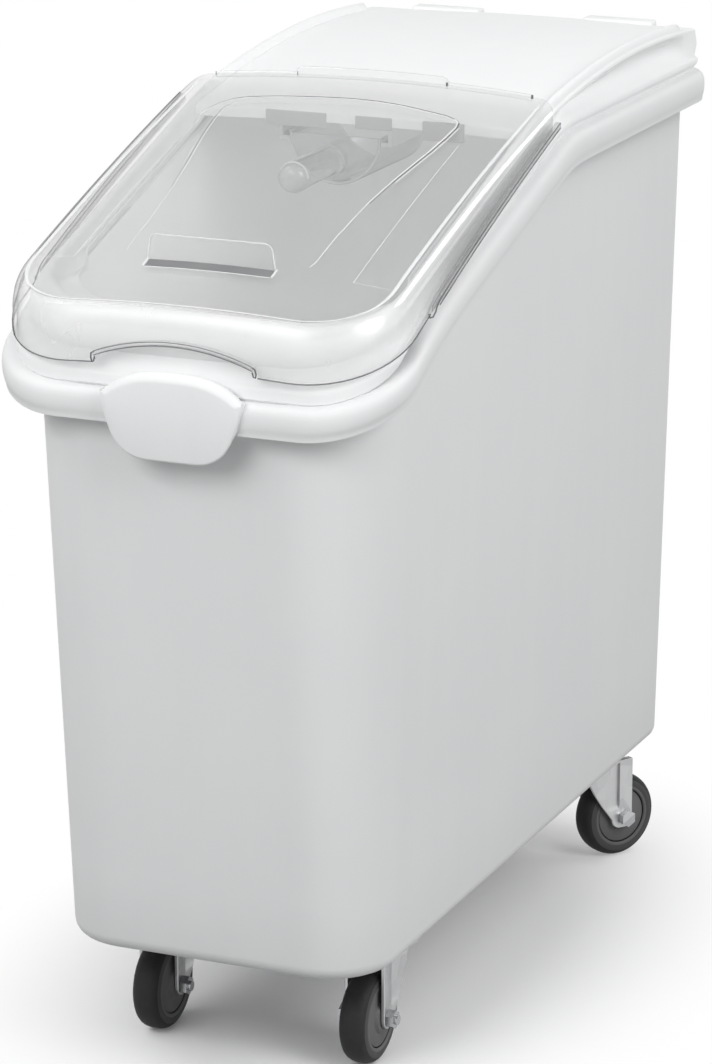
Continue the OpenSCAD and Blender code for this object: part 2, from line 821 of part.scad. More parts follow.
module kingpin() {
    color("gray") {
        translate([0, 0, disc_z - fork_t]) cylinder(d = pin_d, h = caster_h - disc_z + fork_t - seat);
        translate([0, 0, disc_z - fork_t - clear - pin_head_h]) cylinder(d = 2 * pin_d, h = pin_head_h);
        translate([0, 0, disc_z - fork_t - clear]) cylinder(d = pin_d, h = fork_t);
    }
}

module balls() {
    color("lightgray")
    for (i = [0:ball_count - 1])
        rotate([0, 0, 360 * i / ball_count]) translate([race_r, 0, ball_z]) sphere(d = ball_d);
}

module fork_leg_outline() {
    polygon([
        [-disc_r * leg_back_share, disc_z - fork_t / 2],
        [disc_r * leg_front_share, disc_z - fork_t / 2],
        [disc_r * leg_waist_share, (disc_z + axle_z) / 2 + fork_t],
        [leg_end_r * cos(leg_near_turn) - trail, axle_z + leg_end_r * sin(leg_near_turn)],
        [leg_end_r * cos(leg_far_turn) - trail, axle_z + leg_end_r * sin(leg_far_turn)]
    ]);
    translate([-trail, axle_z]) circle(r = leg_end_r);
}

module fork() {
    color("lightsteelblue")
    difference() {
        union() {
            translate([0, 0, disc_z - fork_t]) cylinder(r = disc_r, h = fork_t);
            for (s = [-1, 1])
                translate([s * (leg_in + leg_out) / 2, 0, 0]) along_x(fork_t / 2) fork_leg_outline();
        }
        translate([0, 0, disc_z - fork_t - over]) cylinder(d = pin_d + 2 * run, h = fork_t + 2 * over);
        race_groove();
        translate([-leg_out - over, -trail, axle_z])
            rotate([0, 90, 0]) cylinder(d = axle_d + 2 * run, h = 2 * (leg_out + over));
    }
}

module on_axle() {
    translate([0, -trail, axle_z]) rotate([0, 90, 0]) children();
}

module axle_bolt() {
    end = nut_h + 2 * seat + axle_d / 4;
    color("silver")
    on_axle() {
        translate([0, 0, -leg_out - seat - bolt_head_h]) hex(nut_flats, bolt_head_h);
        translate([0, 0, -leg_out - seat - bolt_head_h / 2])
            cylinder(d = axle_d, h = 2 * leg_out + seat + bolt_head_h / 2 + end);
    }
}

module axle_nut() {
    color("silver")
    on_axle()
        translate([0, 0, leg_out + seat])
            difference() {
                hex(nut_flats, nut_h);
                translate([0, 0, -over]) cylinder(d = axle_d + 2 * run, h = nut_h + 2 * over);
            }
}

module axle_sleeve() {
    color("gray")
    on_axle()
        translate([0, 0, seat - leg_in])
            difference() {
                cylinder(d = sleeve_d, h = 2 * (leg_in - seat));
                translate([0, 0, -over]) cylinder(d = axle_d + 2 * run, h = 2 * (leg_in + over));
            }
}

module hub() {
    bore_r = sleeve_d / 2 + run;
    hub_half = leg_in - 2 * clear;
    rim_depth = hub_d / 2 - hub_rim;
    web = wheel_w / 2 - face_set;
    color("dimgray")
    on_axle()
        rotate_extrude()
            polygon([
                [bore_r, -hub_half],
                [boss_r, -hub_half],
                [boss_r, face_set - web],
                [rim_depth, face_set - web],
                [rim_depth, -web],
                [hub_d / 2, -web],
                [hub_d / 2, web],
                [rim_depth, web],
                [rim_depth, web - face_set],
                [boss_r, web - face_set],
                [boss_r, hub_half],
                [bore_r, hub_half]
            ]);
}

module tyre() {
    color("darkslategray")
    on_axle()
        rotate_extrude() {
            translate([tyre_in, tyre_round - wheel_w / 2])
                square([wheel_d / 2 - tyre_in, wheel_w - 2 * tyre_round]);
            translate([tyre_in, -wheel_w / 2])
                square([wheel_d / 2 - tyre_in - tyre_round, wheel_w]);
            for (s = [-1, 1])
                translate([wheel_d / 2 - tyre_round, s * (wheel_w / 2 - tyre_round)]) circle(r = tyre_round);
        }
}

module caster_piece(piece) {
    if (piece == "plate") plate();
    if (piece == "kingpin") kingpin();
    if (piece == "balls") balls();
    if (piece == "fork") fork();
    if (piece == "axle_bolt") axle_bolt();
    if (piece == "axle_nut") axle_nut();
    if (piece == "axle_sleeve") axle_sleeve();
    if (piece == "hub") hub();
    if (piece == "tyre") tyre();
}

still_pieces = ["plate", "kingpin", "balls"];

tub();
lid_frame();
front_handle();
clear_lid();
scoop();
plate_bolts();
thread_inserts();
for (i = [0:len(CASTERS) - 1])
    for (piece = PIECES)
        translate([caster_signs[i] * caster_x, caster_ys[i], 0])
                rotate([0, 0, is_num(search([piece], still_pieces)[0]) ? 0 : caster_turns[i]])
                    caster_piece(piece);
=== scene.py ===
"""Rolling flour bin: the looks of its pieces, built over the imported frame."""

import logging
import math
from collections.abc import Callable
from dataclasses import dataclass, field
from enum import Enum

import bmesh
import bpy
from mathutils import Matrix, Vector


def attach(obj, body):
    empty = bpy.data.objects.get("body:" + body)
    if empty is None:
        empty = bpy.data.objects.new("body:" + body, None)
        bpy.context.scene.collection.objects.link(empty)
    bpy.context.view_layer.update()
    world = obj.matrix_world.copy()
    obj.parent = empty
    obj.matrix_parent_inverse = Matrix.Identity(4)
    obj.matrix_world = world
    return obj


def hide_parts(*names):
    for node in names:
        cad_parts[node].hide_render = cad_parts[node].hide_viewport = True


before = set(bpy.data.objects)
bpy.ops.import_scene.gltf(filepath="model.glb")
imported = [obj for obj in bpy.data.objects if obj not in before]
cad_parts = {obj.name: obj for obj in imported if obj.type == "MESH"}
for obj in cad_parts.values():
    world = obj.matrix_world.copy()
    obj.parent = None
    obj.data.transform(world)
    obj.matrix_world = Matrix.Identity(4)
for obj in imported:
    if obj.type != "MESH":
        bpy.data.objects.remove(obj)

MM = 0.001
SIDES = (-1.0, 1.0)
CLOSED = (True, True)
FACE_ON = 0.04
PLAIN_GLOSS = 0.05
WHITE = (1.0, 1.0, 1.0)
Spot = tuple[float, float]
Point = tuple[float, float, float]
Plan = list[Spot]
Rows = tuple[Spot, ...]
Triples = tuple[Point, ...]
Colour = tuple[float, float, float]
log = logging.getLogger("flour_bin")


class Body(Enum):
    """The bodies of the frame that new pieces ride on."""

    BIN = "bin"
    LID = "lid"
    SCOOP = "scoop"


class Caster(Enum):
    """The four casters, by the first part of their nodes' names."""

    FRONT_LEFT = "front_left"
    FRONT_RIGHT = "front_right"
    REAR_LEFT = "rear_left"
    REAR_RIGHT = "rear_right"


def lerp(a: float, b: float, share: float) -> float:
    """Returns the value at a share of the way from a to b."""
    return a + (b - a) * share


def between(a: Point | Spot, b: Point | Spot, share: float) -> Spot:
    """Returns the place in plan at a share of the way from a to b."""
    return lerp(a[0], b[0], share), lerp(a[1], b[1], share)


def ease(low: float, high: float, value: float) -> float:
    """Returns 0 at low, 1 at high and a smooth rise between them."""
    share = min(max((value - low) / (high - low), 0.0), 1.0)
    return share * share * (3.0 - 2.0 * share)


def spread(low: float, high: float, steps: int) -> list[float]:
    """Returns the ends of even steps from low to high."""
    return [lerp(low, high, k / steps) for k in range(steps + 1)]


def arc(centre: Spot, radius: float, start: float, end: float, steps: int) -> Plan:
    """Gives points on an arc.

    Args:
        centre: The arc's centre.
        radius: Its radius.
        start: The first point's turn in degrees.
        end: The last point's turn in degrees.
        steps: How many steps it has.

    Returns:
        The points.
    """
    turns = [math.radians(turn) for turn in spread(start, end, steps)]
    return [(centre[0] + radius * math.cos(a), centre[1] + radius * math.sin(a)) for a in turns]


def along(rows: Rows, spot: float) -> float:
    """Gives the value at a place along a row of places and values.

    Args:
        rows: Places in rising order, each with its value.
        spot: The place; past an end, the end's value is given.

    Returns:
        The value.
    """
    inside = min(max(spot, rows[0][0]), rows[-1][0])
    for (at, low), (to, high) in zip(rows, rows[1:]):
        if inside <= to:
            return lerp(low, high, (inside - at) / (to - at))
    return rows[-1][1]


def linked(name: str, data: bpy.types.ID) -> bpy.types.Object:
    """Makes an object and puts it in the scene.

    Args:
        name: The object's name.
        data: Its mesh, light or camera.

    Returns:
        The object.
    """
    made = bpy.data.objects.new(name, data)
    bpy.context.scene.collection.objects.link(made)
    return made


def set_up(made: bpy.types.Object, spot: Point, aim: Point) -> None:
    """Puts a lamp or a camera at a spot, aimed at another."""
    made.location = spot
    made.rotation_euler = (Vector(aim) - Vector(spot)).to_track_quat("-Z", "Y").to_euler()


class Flow:
    """A node socket that can stand in a sum, so that a finish reads as a formula."""

    def __init__(self, graph: "Graph", socket: bpy.types.NodeSocket) -> None:
        """Keeps the socket and the graph that it is in."""
        self.graph = graph
        self.socket = socket

    def _math(self, operation: str, left: object, right: object) -> "Flow":
        """Returns a math node's output for two operands."""
        return self.graph.flow("ShaderNodeMath", {"operation": operation}, {0: left, 1: right})

    def __add__(self, other: object) -> "Flow":
        """Returns the sum."""
        return self._math("ADD", self, other)

    __radd__ = __add__

    def __mul__(self, other: object) -> "Flow":
        """Returns the product."""
        return self._math("MULTIPLY", self, other)

    __rmul__ = __mul__

    def __sub__(self, other: object) -> "Flow":
        """Returns the difference."""
        return self._math("SUBTRACT", self, other)

    def __rsub__(self, other: object) -> "Flow":
        """Returns the difference with the operands the other way round."""
        return self._math("SUBTRACT", other, self)

    def __pow__(self, other: object) -> "Flow":
        """Returns the power."""
        return self._math("POWER", self, other)

    def between(self, low: float, high: float) -> "Flow":
        """Returns the value mapped from low..high to 0..1 and clamped.

        Args:
            low: The value that becomes 0.
            high: The value that becomes 1.

        Returns:
            The mapped value.
        """
        return self.graph.flow(
            "ShaderNodeMapRange", {"clamp": True, "interpolation_type": "SMOOTHSTEP"},
            {"Value": self, "From Min": low, "From Max": high})


class Graph:
    """The node tree of one material or world."""

    def __init__(self, owner: bpy.types.Material | bpy.types.World) -> None:
        """Empties the owner's node tree and gives it an output node.

        Args:
            owner: The material or world.
        """
        self.owner = owner
        owner.use_nodes = True
        self.tree = owner.node_tree
        self.tree.nodes.clear()
        kind = "World" if isinstance(owner, bpy.types.World) else "Material"
        self.end = self.tree.nodes.new(f"ShaderNodeOutput{kind}")

    def node(self, kind: str, settings: dict | None = None, sockets: dict | None = None) -> bpy.types.Node:
        """Makes one node.

        Args:
            kind: The node's type.
            settings: Its properties, set before its sockets.
            sockets: Values or flows for its inputs, by name or place.

        Returns:
            The node.
        """
        made = self.tree.nodes.new(kind)
        for key, value in (settings or {}).items():
            setattr(made, key, value)
        for key, value in (sockets or {}).items():
            if isinstance(value, Flow):
                self.tree.links.new(value.socket, made.inputs[key])
            elif isinstance(value, tuple) and len(value) == 3 and made.inputs[key].type == "RGBA":
                made.inputs[key].default_value = (*value, 1.0)
            else:
                made.inputs[key].default_value = value
        return made

    def flow(self, kind: str, settings: dict | None = None, sockets: dict | None = None,
             out: int | str = 0) -> Flow:
        """Makes one node and returns one of its outputs as a flow."""
        return Flow(self, self.node(kind, settings, sockets).outputs[out])

    def place(self) -> Flow:
        """Returns the object's own coordinates, in metres."""
        return self.flow("ShaderNodeTexCoord", out="Object")

    def stretched(self, scale: Point) -> Flow:
        """Returns the object's coordinates times a scale along each axis."""
        return self.flow("ShaderNodeVectorMath", {"operation": "MULTIPLY"}, {0: self.place(), 1: scale})

    def noise(self, scale: float, detail: float = 2.0, where: Flow | None = None) -> Flow:
        """Returns a noise value between 0 and 1."""
        return self.flow("ShaderNodeTexNoise", None, {
            "Vector": where or self.place(), "Scale": scale, "Detail": detail, "Roughness": 0.55}, "Fac")

    def blend(self, low: Colour | Flow, high: Colour | Flow, factor: Flow | float) -> Flow:
        """Returns a colour between two colours."""
        return self.flow("ShaderNodeMix", {"data_type": "RGBA"}, {0: factor, 6: low, 7: high}, 2)

    def bump(self, height: Flow, strength: float, distance: float) -> Flow:
        """Returns a normal that follows a height."""
        return self.flow("ShaderNodeBump", None, {
            "Strength": strength, "Distance": distance, "Height": height})

    def surface(self, sockets: dict) -> Flow:
        """Returns a principled surface with some of its sockets set."""
        return self.flow("ShaderNodeBsdfPrincipled", None, sockets)

    def mixed(self, factor: Flow, low: Flow, high: Flow) -> Flow:
        """Returns a shader between two shaders."""
        return self.flow("ShaderNodeMixShader", None, {0: factor, 1: low, 2: high})

    def watched(self) -> Flow:
        """Tells the rays that show a thing from the rays that only light it.

        Returns:
            1 for a ray from the camera, in a mirror or through a clear sheet, and 0 for the others.
        """
        path = self.node("ShaderNodeLightPath")
        straight, mirrored, through = (
            Flow(self, path.outputs[f"Is {kind} Ray"]) for kind in ("Camera", "Glossy", "Transmission"))
        return straight + mirrored + through

    def closed_by(self, shader: Flow) -> bpy.types.Material | bpy.types.World:
        """Ends the graph with a shader and returns its owner."""
        self.tree.links.new(shader.socket, self.end.inputs["Surface"])
        return self.owner


@dataclass(frozen=True)
class Finish:
    """One material, made once and shared by its pieces."""

    name: str
    slot: str

    def material(self) -> bpy.types.Material:
        """Returns the material, making it the first time."""
        found = bpy.data.materials.get(self.name)
        return found or self.paint(Graph(bpy.data.materials.new(self.name)))

    def paint(self, graph: Graph) -> bpy.types.Material:
        """Fills the graph and returns its material."""
        raise NotImplementedError


@dataclass(frozen=True)
class Moulded(Finish):
    """Moulded plastic: faint clouding, a fine grain and scuffs that change the gloss, and an optional glow
    that is painted light.
    """

    light: Colour
    dark: Colour
    roughness: float = 0.42
    grain: float = 520.0
    depth: float = 0.00006
    scuff: float = 0.25
    painted_glow: float = 0.0

    def paint(self, graph: Graph) -> bpy.types.Material:
        """Fills the graph with the finish.

        Args:
            graph: The graph of an empty material.

        Returns:
            The material.
        """
        cloud = graph.noise(5.5, 3.0)
        grain = graph.noise(self.grain, 2.0)
        streak = graph.noise(1.0, 4.0, graph.stretched((38.0, 38.0, 3.0)))
        worn = graph.noise(1.0, 5.0, graph.stretched((26.0, 240.0, 90.0)))
        scuffs = worn.between(0.62, 0.92) * self.scuff
        tone = cloud * 0.55 + streak * 0.25 + grain * 0.2
        colour = graph.blend(self.dark, self.light, tone.between(0.32, 0.66))
        return graph.closed_by(graph.surface({
            "Base Color": colour, "Roughness": (tone - 0.5) * 0.16 + self.roughness + scuffs * 0.35,
            "IOR": 1.47, "Specular IOR Level": 0.3,
            # Emission is painted light: the surface glows though it is no lamp.
            "Emission Color": colour, "Emission Strength": self.painted_glow,
            "Normal": graph.bump(grain * 0.95 + scuffs * 0.05, 0.35, self.depth)}))


@dataclass(frozen=True)
class Clear(Finish):
    """Clear sheet: a faint veil, a mirror sheen that grows with the slant, and darker edges."""

    tint: Colour = (0.985, 0.985, 0.985)
    body: Colour = (0.6, 0.606, 0.61)
    veil: float = 0.03
    edge: float = 0.85
    power: float = 9.0
    dark: Colour = (0.3, 0.305, 0.31)
    shine: float = 1.0
    gloss: float = PLAIN_GLOSS
    fade: Spot | None = None

    def paint(self, graph: Graph) -> bpy.types.Material:
        """Fills the graph with the finish.

        Args:
            graph: The graph of an empty material.

        Returns:
            The material.
        """
        facing = graph.flow("ShaderNodeLayerWeight", None, {"Blend": 0.5}, "Facing")
        mirror = (facing ** 5.0 * (1.0 - FACE_ON) + FACE_ON) * self.shine
        haze = graph.noise(9.0, 3.0)
        scratch = graph.noise(1.0, 4.0, graph.stretched((420.0, 30.0, 60.0))).between(0.68, 0.86)
        bent = graph.bump(graph.noise(22.0, 2.0), 0.12, 0.0006)
        film = graph.surface({
            "Base Color": graph.blend(self.body, (0.9, 0.91, 0.91), haze.between(0.3, 0.8) * 0.2),
            "Roughness": haze * 0.2 + 0.4, "IOR": 1.5, "Normal": bent})
        open_way, dark_way = (
            graph.flow("ShaderNodeBsdfTransparent", None, {"Color": tint}) for tint in (self.tint, self.dark))
        dense = (haze - 0.5) * 0.02 + scratch * 0.01 + self.veil
        dull = haze * 0.06 + scratch * 0.05
        if self.fade:
            reach = graph.flow("ShaderNodeSeparateXYZ", None, {0: graph.place()}, "Y")
            share = reach.between(*self.fade)
            dense = dense * share
            dull = dull + share * (self.gloss - PLAIN_GLOSS) + PLAIN_GLOSS
        else:
            dull = dull + self.gloss
        sheen = graph.surface({"Base Color": WHITE, "Metallic": 1.0, "Roughness": dull, "Normal": bent})
        glossy = graph.mixed(mirror, graph.mixed(dense, open_way, film), sheen)
        return graph.closed_by(graph.mixed(facing ** self.power * self.edge, glossy, dark_way))


@dataclass(frozen=True)
class Metal(Finish):
    """Plated or bare metal with brushing, a spangled tone and duller patches."""

    light: Colour
    dark: Colour
    roughness: float = 0.34
    spangle: float = 90.0

    def paint(self, graph: Graph) -> bpy.types.Material:
        """Fills the graph with the finish.

        Args:
            graph: The graph of an empty material.

        Returns:
            The material.
        """
        cells = graph.flow(
            "ShaderNodeTexVoronoi", None, {"Vector": graph.place(), "Scale": self.spangle}, "Color")
        patch = graph.flow("ShaderNodeSeparateColor", None, {0: cells})
        dull = graph.noise(34.0, 4.0)
        brush = graph.noise(1.0, 3.0, graph.stretched((900.0, 60.0, 60.0)))
        tone = patch * 0.35 + dull * 0.4 + brush * 0.25
        return graph.closed_by(graph.surface({
            "Base Color": graph.blend(self.dark, self.light, tone.between(0.25, 0.75)),
            "Metallic": 1.0, "Roughness": dull * 0.18 + brush * 0.1 + self.roughness - 0.14,
            "Normal": graph.bump(brush * 0.5 + dull * 0.5, 0.3, 0.00005)}))


@dataclass(frozen=True)
class Rubber(Finish):
    """Grey rubber or nylon with dust, small pits and a cloudy tone."""

    light: Colour
    dark: Colour
    roughness: float = 0.62
    dust: float = 0.35

    def paint(self, graph: Graph) -> bpy.types.Material:
        """Fills the graph with the finish.

        Args:
            graph: The graph of an empty material.

        Returns:
            The material.
        """
        cloud = graph.noise(30.0, 4.0)
        pits = graph.noise(900.0, 2.0)
        film = graph.noise(75.0, 5.0).between(0.52, 0.75) * self.dust
        base = graph.blend(self.dark, self.light, (cloud * 0.7 + pits * 0.3).between(0.3, 0.7))
        return graph.closed_by(graph.surface({
            "Base Color": graph.blend(base, (0.16, 0.16, 0.158), film * 0.4),
            "Roughness": cloud * 0.14 + self.roughness - 0.07 + film * 0.1, "Specular IOR Level": 0.25,
            "Normal": graph.bump(pits * 0.7 + cloud * 0.3, 0.4, 0.00012)}))


TUB_WHITE = Moulded("tub_white", "tub_plastic", (0.81, 0.814, 0.814), (0.785, 0.79, 0.792), 0.62, 620.0)
# The lining is a lighter copy of the tub's plastic with a faint emission: painted light for the light that
# comes through the translucent wall.
TUB_LINING_PAINTED_LIGHT = Moulded(
    "tub_lining_painted_light", "tub_plastic", (0.95, 0.952, 0.95), (0.93, 0.933, 0.933), 0.5, 560.0, painted_glow=0.042)
FRAME_WHITE = Moulded("frame_white", "white_plastic", (0.88, 0.885, 0.885), (0.858, 0.864, 0.866), 0.42)
PAD_WHITE = Moulded(
    "pad_white", "white_plastic", (0.85, 0.855, 0.858), (0.825, 0.831, 0.835), 0.45, 460.0, 0.00009)
# Grey for the line along the handle's panel: painted shade at the step below the roll.
PAINTED_SHADE_LINE_GREY = Moulded("painted_shade_line_grey", "white_plastic", (0.64, 0.645, 0.65), (0.6, 0.605, 0.61), 0.5)
# Dark grey for blocks that stand in for shade: painted shade.
PAINTED_SHADE_GREY = Moulded("painted_shade_grey", "white_plastic", (0.47, 0.475, 0.48), (0.42, 0.425, 0.43), 0.5)
LID_CLEAR = Clear("lid_clear", "clear_plastic", power=5.0)
# The level sheet gets a grey veil that the rounded edges of the same sheet lack: painted shade over the white
# frame beneath it and painted light over the dark inside.
LID_SHEET_PAINTED_SHADE_AND_LIGHT = Clear("lid_sheet_painted_shade_and_light", "clear_plastic", body=(0.44, 0.442, 0.443), veil=0.13)
# A white veil on the lid's front edge: painted light that brightens the frame seen through it; its rougher
# gloss softens the lamps' reflections.
LID_FRONT_PAINTED_LIGHT = Clear(
    "lid_front", "clear_plastic", body=(0.97, 0.97, 0.97), veil=0.22, power=5.0, gloss=0.28,
    fade=(-0.3, -0.345))
# Painted shade on the right skirt only: a dark veil for the shade in the gap between the skirt and the
# frame's flank.
LID_RIGHT_SKIRT_PAINTED_SHADE = Clear(
    "lid_right_skirt_painted_shade", "clear_plastic", (0.97, 0.97, 0.97), (0.3, 0.303, 0.305), 0.26, 0.7, 5.0,
    fade=(-0.29, -0.19))
# The side lips' grey veil is painted shade; the lip over the arch keeps the plain clear finish.
LID_SIDE_LIP_PAINTED_SHADE = Clear(
    "lid_lip", "clear_plastic", (0.92, 0.92, 0.92), (0.5, 0.503, 0.505), 0.25, 0.7, 5.0, shine=0.5, gloss=0.2)
# Dark bars along folds, hems, lips and pins: painted shade where the clear plastic looks dark.
LID_FOLD_PAINTED_SHADE = Clear(
    "lid_fold", "clear_plastic", (0.5, 0.51, 0.52), (0.16, 0.165, 0.17), 0.55, 0.6, 3.0, shine=0.3)
LID_SHADE = Clear(
    "lid_shade", "clear_plastic", (0.5, 0.51, 0.52), (0.2, 0.203, 0.206), 0.8, 0.3, 3.0, shine=0.3)
LID_GLINT = Clear("lid_glint", "clear_plastic", (0.97, 0.98, 0.98), (0.96, 0.96, 0.96), 0.6, 0.0)
SCOOP_CLEAR = Clear(
    "scoop_clear", "clear_plastic", (0.95, 0.955, 0.957), (0.92, 0.925, 0.927), 0.11, 0.8, 4.0, shine=2.5)
ZINC = Metal("zinc_plate", "zinc_sheet", (0.54, 0.543, 0.547), (0.45, 0.454, 0.46), 0.4, 60.0)
STEEL = Metal("plain_steel", "steel", (0.52, 0.525, 0.535), (0.36, 0.365, 0.375), 0.24, 40.0)
BRASS = Metal("turned_brass", "brass", (0.78, 0.62, 0.33), (0.6, 0.45, 0.2), 0.32, 30.0)
TYRE_GREY = Rubber("tyre_grey", "tyre_rubber", (0.028, 0.028, 0.029), (0.019, 0.019, 0.02), dust=0.15)
HUB_GREY = Rubber("hub_grey", "hub_plastic", (0.165, 0.165, 0.167), (0.145, 0.145, 0.147), 0.55, 0.12)
SIDE_GREY = Rubber("side_grey", "tyre_rubber", (0.075, 0.075, 0.076), (0.062, 0.062, 0.063), 0.6, 0.12)
BEAD_GREY = Rubber("bead_grey", "tyre_rubber", (0.15, 0.15, 0.152), (0.13, 0.13, 0.132), 0.6, 0.12)


@dataclass(frozen=True)
class Lines:
    """Sizes that several pieces share, in millimetres, and the curves they follow."""

    rim_half: float = 165.0
    rim_front: float = -367.0
    rim_rear: float = 372.5
    rim_over: float = 20.0
    rim_z: float = 699.0
    rim_corners: Spot = (66.0, 46.0)
    foot_corners: Spot = (66.0, 36.0)
    crown_corners: Spot = (86.0, 22.0)
    least_corner: float = 4.0
    bend_y: float = 26.0
    bend_soft: float = 8.0
    rim_slope: float = math.tan(math.radians(16.6))
    dip_l: float = 177.0
    dip_h: float = 32.0
    floor_z: float = 102.5
    wall_half: float = 133.0
    wall_front: float = -316.0
    wall_rear: float = 351.5
    wall_h: float = 572.5
    side_lean: float = 0.02096
    front_lean: float = 0.0711
    rear_lean: float = 0.00175
    wall_corners: Point = (53.0, 72.0, 26.0)
    wall_least: float = 3.0
    wall_ends: Spot = (100.0, 700.0)
    crown_z0: float = 722.5
    crown_slope: float = math.tan(math.radians(18.0))
    crest_soft: float = 1.2
    hood_top_z: float = 744.15
    hood_top_y: float = 228.0
    hood_r: float = 1200.0
    hood_front: float = -30.0
    side_from: float = -238.0
    rail_end: float = 318.0
    rail_spare: float = 8.0
    front_steps: int = 12
    corner_steps: tuple[int, int] = (14, 12)
    side_steps: tuple[int, int, int] = (6, 30, 24)
    rear_shares: Spot = (0.15, 0.5)
    rear_steps: int = 8
    pin_x: float = 89.0
    pin_front: float = -182.0
    pin_rear: float = 280.0
    turns: tuple[float, ...] = (0.0, 0.0, 200.0, 147.0)

    def rim_top(self, y: float) -> float:
        """Gives the height of the rim's top.

        Args:
            y: The place along Y.

        Returns:
            The height.
        """
        run = self.bend_soft * math.log1p(math.exp(min((self.bend_y - y) / self.bend_soft, 60.0)))
        dip = self.dip_h * (max(self.rim_front + self.dip_l - y, 0.0) / self.dip_l) ** 2
        return self.rim_z - run * self.rim_slope - dip

    def hood_arc(self, y: float) -> float:
        """Returns the height of the hood's arc at a place along Y."""
        return self.hood_top_z - (self.hood_top_y - y) ** 2 / (2.0 * self.hood_r)

    def crest(self, y: float) -> float:
        """Gives the height of the side rails' top.

        Args:
            y: The place along Y.

        Returns:
            The height.
        """
        line, hood = self.crown_z0 + y * self.crown_slope, self.hood_arc(y)
        soft = math.log1p(math.exp(-abs(line - hood) / self.crest_soft))
        return min(line, hood) - self.crest_soft * soft

    def outline(self, half: float, front: float, rear: float, r_front: float, r_rear: float) -> Plan:
        """Gives a plan outline with rounded corners, from the middle of the front and counter-clockwise.

        Args:
            half: Half the width.
            front: Place of the front along Y.
            rear: Place of the rear along Y.
            r_front: Radius of the front corners.
            r_rear: Radius of the rear corners.

        Returns:
            The outline's points; a point's number means the same place on every outline.
        """
        level, last = min(self.rail_end, rear - r_rear - self.rail_spare), rear - r_rear
        right = [(x, front) for x in spread(0.0, half - r_front, self.front_steps)[:-1]]
        right += arc((half - r_front, front + r_front), r_front, -90.0, 0.0, self.corner_steps[0])
        stops = (front + r_front, self.side_from, self.bend_y, level)
        for start, end, steps in zip(stops, stops[1:], self.side_steps):
            right += [(half, y) for y in spread(start, end, steps)[1:]]
        right += [(half, lerp(level, last, share)) for share in self.rear_shares]
        right += arc((half - r_rear, last), r_rear, 0.0, 90.0, self.corner_steps[1])
        right += [(x, rear) for x in spread(half - r_rear, 0.0, self.rear_steps)[1:]]
        return right + [(-x, y) for x, y in reversed(right[1:-1])]

    def _around(self, set_in: float, corners: Spot) -> Plan:
        """Returns an outline set in from the rim's edge, with the edge's own corner radii given."""
        radii = [max(corner - set_in, self.least_corner) for corner in corners]
        return self.outline(self.rim_half - set_in, self.rim_front + set_in, self.rim_rear - set_in, *radii)

    def rim_plan(self, set_in: float) -> Plan:
        """Returns the rim's outline, set in from its edge by a distance."""
        return self._around(set_in, self.rim_corners)

    def foot_plan(self, set_in: float) -> Plan:
        """Returns the outline of the frame's foot, set in from the rim's edge by a distance."""
        return self._around(set_in, self.foot_corners)

    def crown_plan(self, set_in: float) -> Plan:
        """Returns the frame's crown outline, set in from the rim's edge by a distance."""
        return self._around(set_in, self.crown_corners)

    def half_at(self, z: float) -> float:
        """Returns half the tub's width at a height."""
        return self.wall_half + (z - self.floor_z) * self.side_lean

    def wall_plan(self, z: float, set_in: float) -> Plan:
        """Gives the tub wall's outline at a height.

        Args:
            z: The height.
            set_in: How far the outline lies inside the wall's outer face.

        Returns:
            The outline's points.
        """
        up = z - self.floor_z
        low, high, rear = self.wall_corners
        corners = lerp(low, high, up / self.wall_h), rear
        radii = [max(corner - set_in, self.wall_least) for corner in corners]
        return self.outline(self.half_at(z) - set_in, self.wall_front - up * self.front_lean + set_in,
                            self.wall_rear + up * self.rear_lean - set_in, *radii)

    def wall_ring(self, heights: list[float], set_in: float) -> list[Point]:
        """Gives the tub wall's ring whose points have a height each.

        Args:
            heights: The height of each point.
            set_in: How far the ring lies inside the wall's outer face.

        Returns:
            The ring's points.
        """
        foot, head = self.wall_ends
        low, high = self.wall_plan(foot, set_in), self.wall_plan(head, set_in)
        return [(*between(a, b, (z - foot) / (head - foot)), z) for a, b, z in zip(low, high, heights)]

    def rim_tops(self) -> list[float]:
        """Returns the rim's height at each point of the outlines."""
        return [self.rim_top(y) for _, y in self.rim_plan(self.rim_over)]

    def seats(self) -> dict[Caster, Point]:
        """Returns the place of each caster's pin in plan and its turn at rest in degrees."""
        pins = [(side * self.pin_x, y) for y in (self.pin_front, self.pin_rear) for side in SIDES]
        return {caster: (*pin, turn) for caster, pin, turn in zip(Caster, pins, self.turns)}


LINES = Lines()


@dataclass(frozen=True)
class Bar:
    """A thin bar's section: its radius, the points round it and its height as a share of its width."""

    radius: float
    sides: int = 8
    flat: float = 1.0


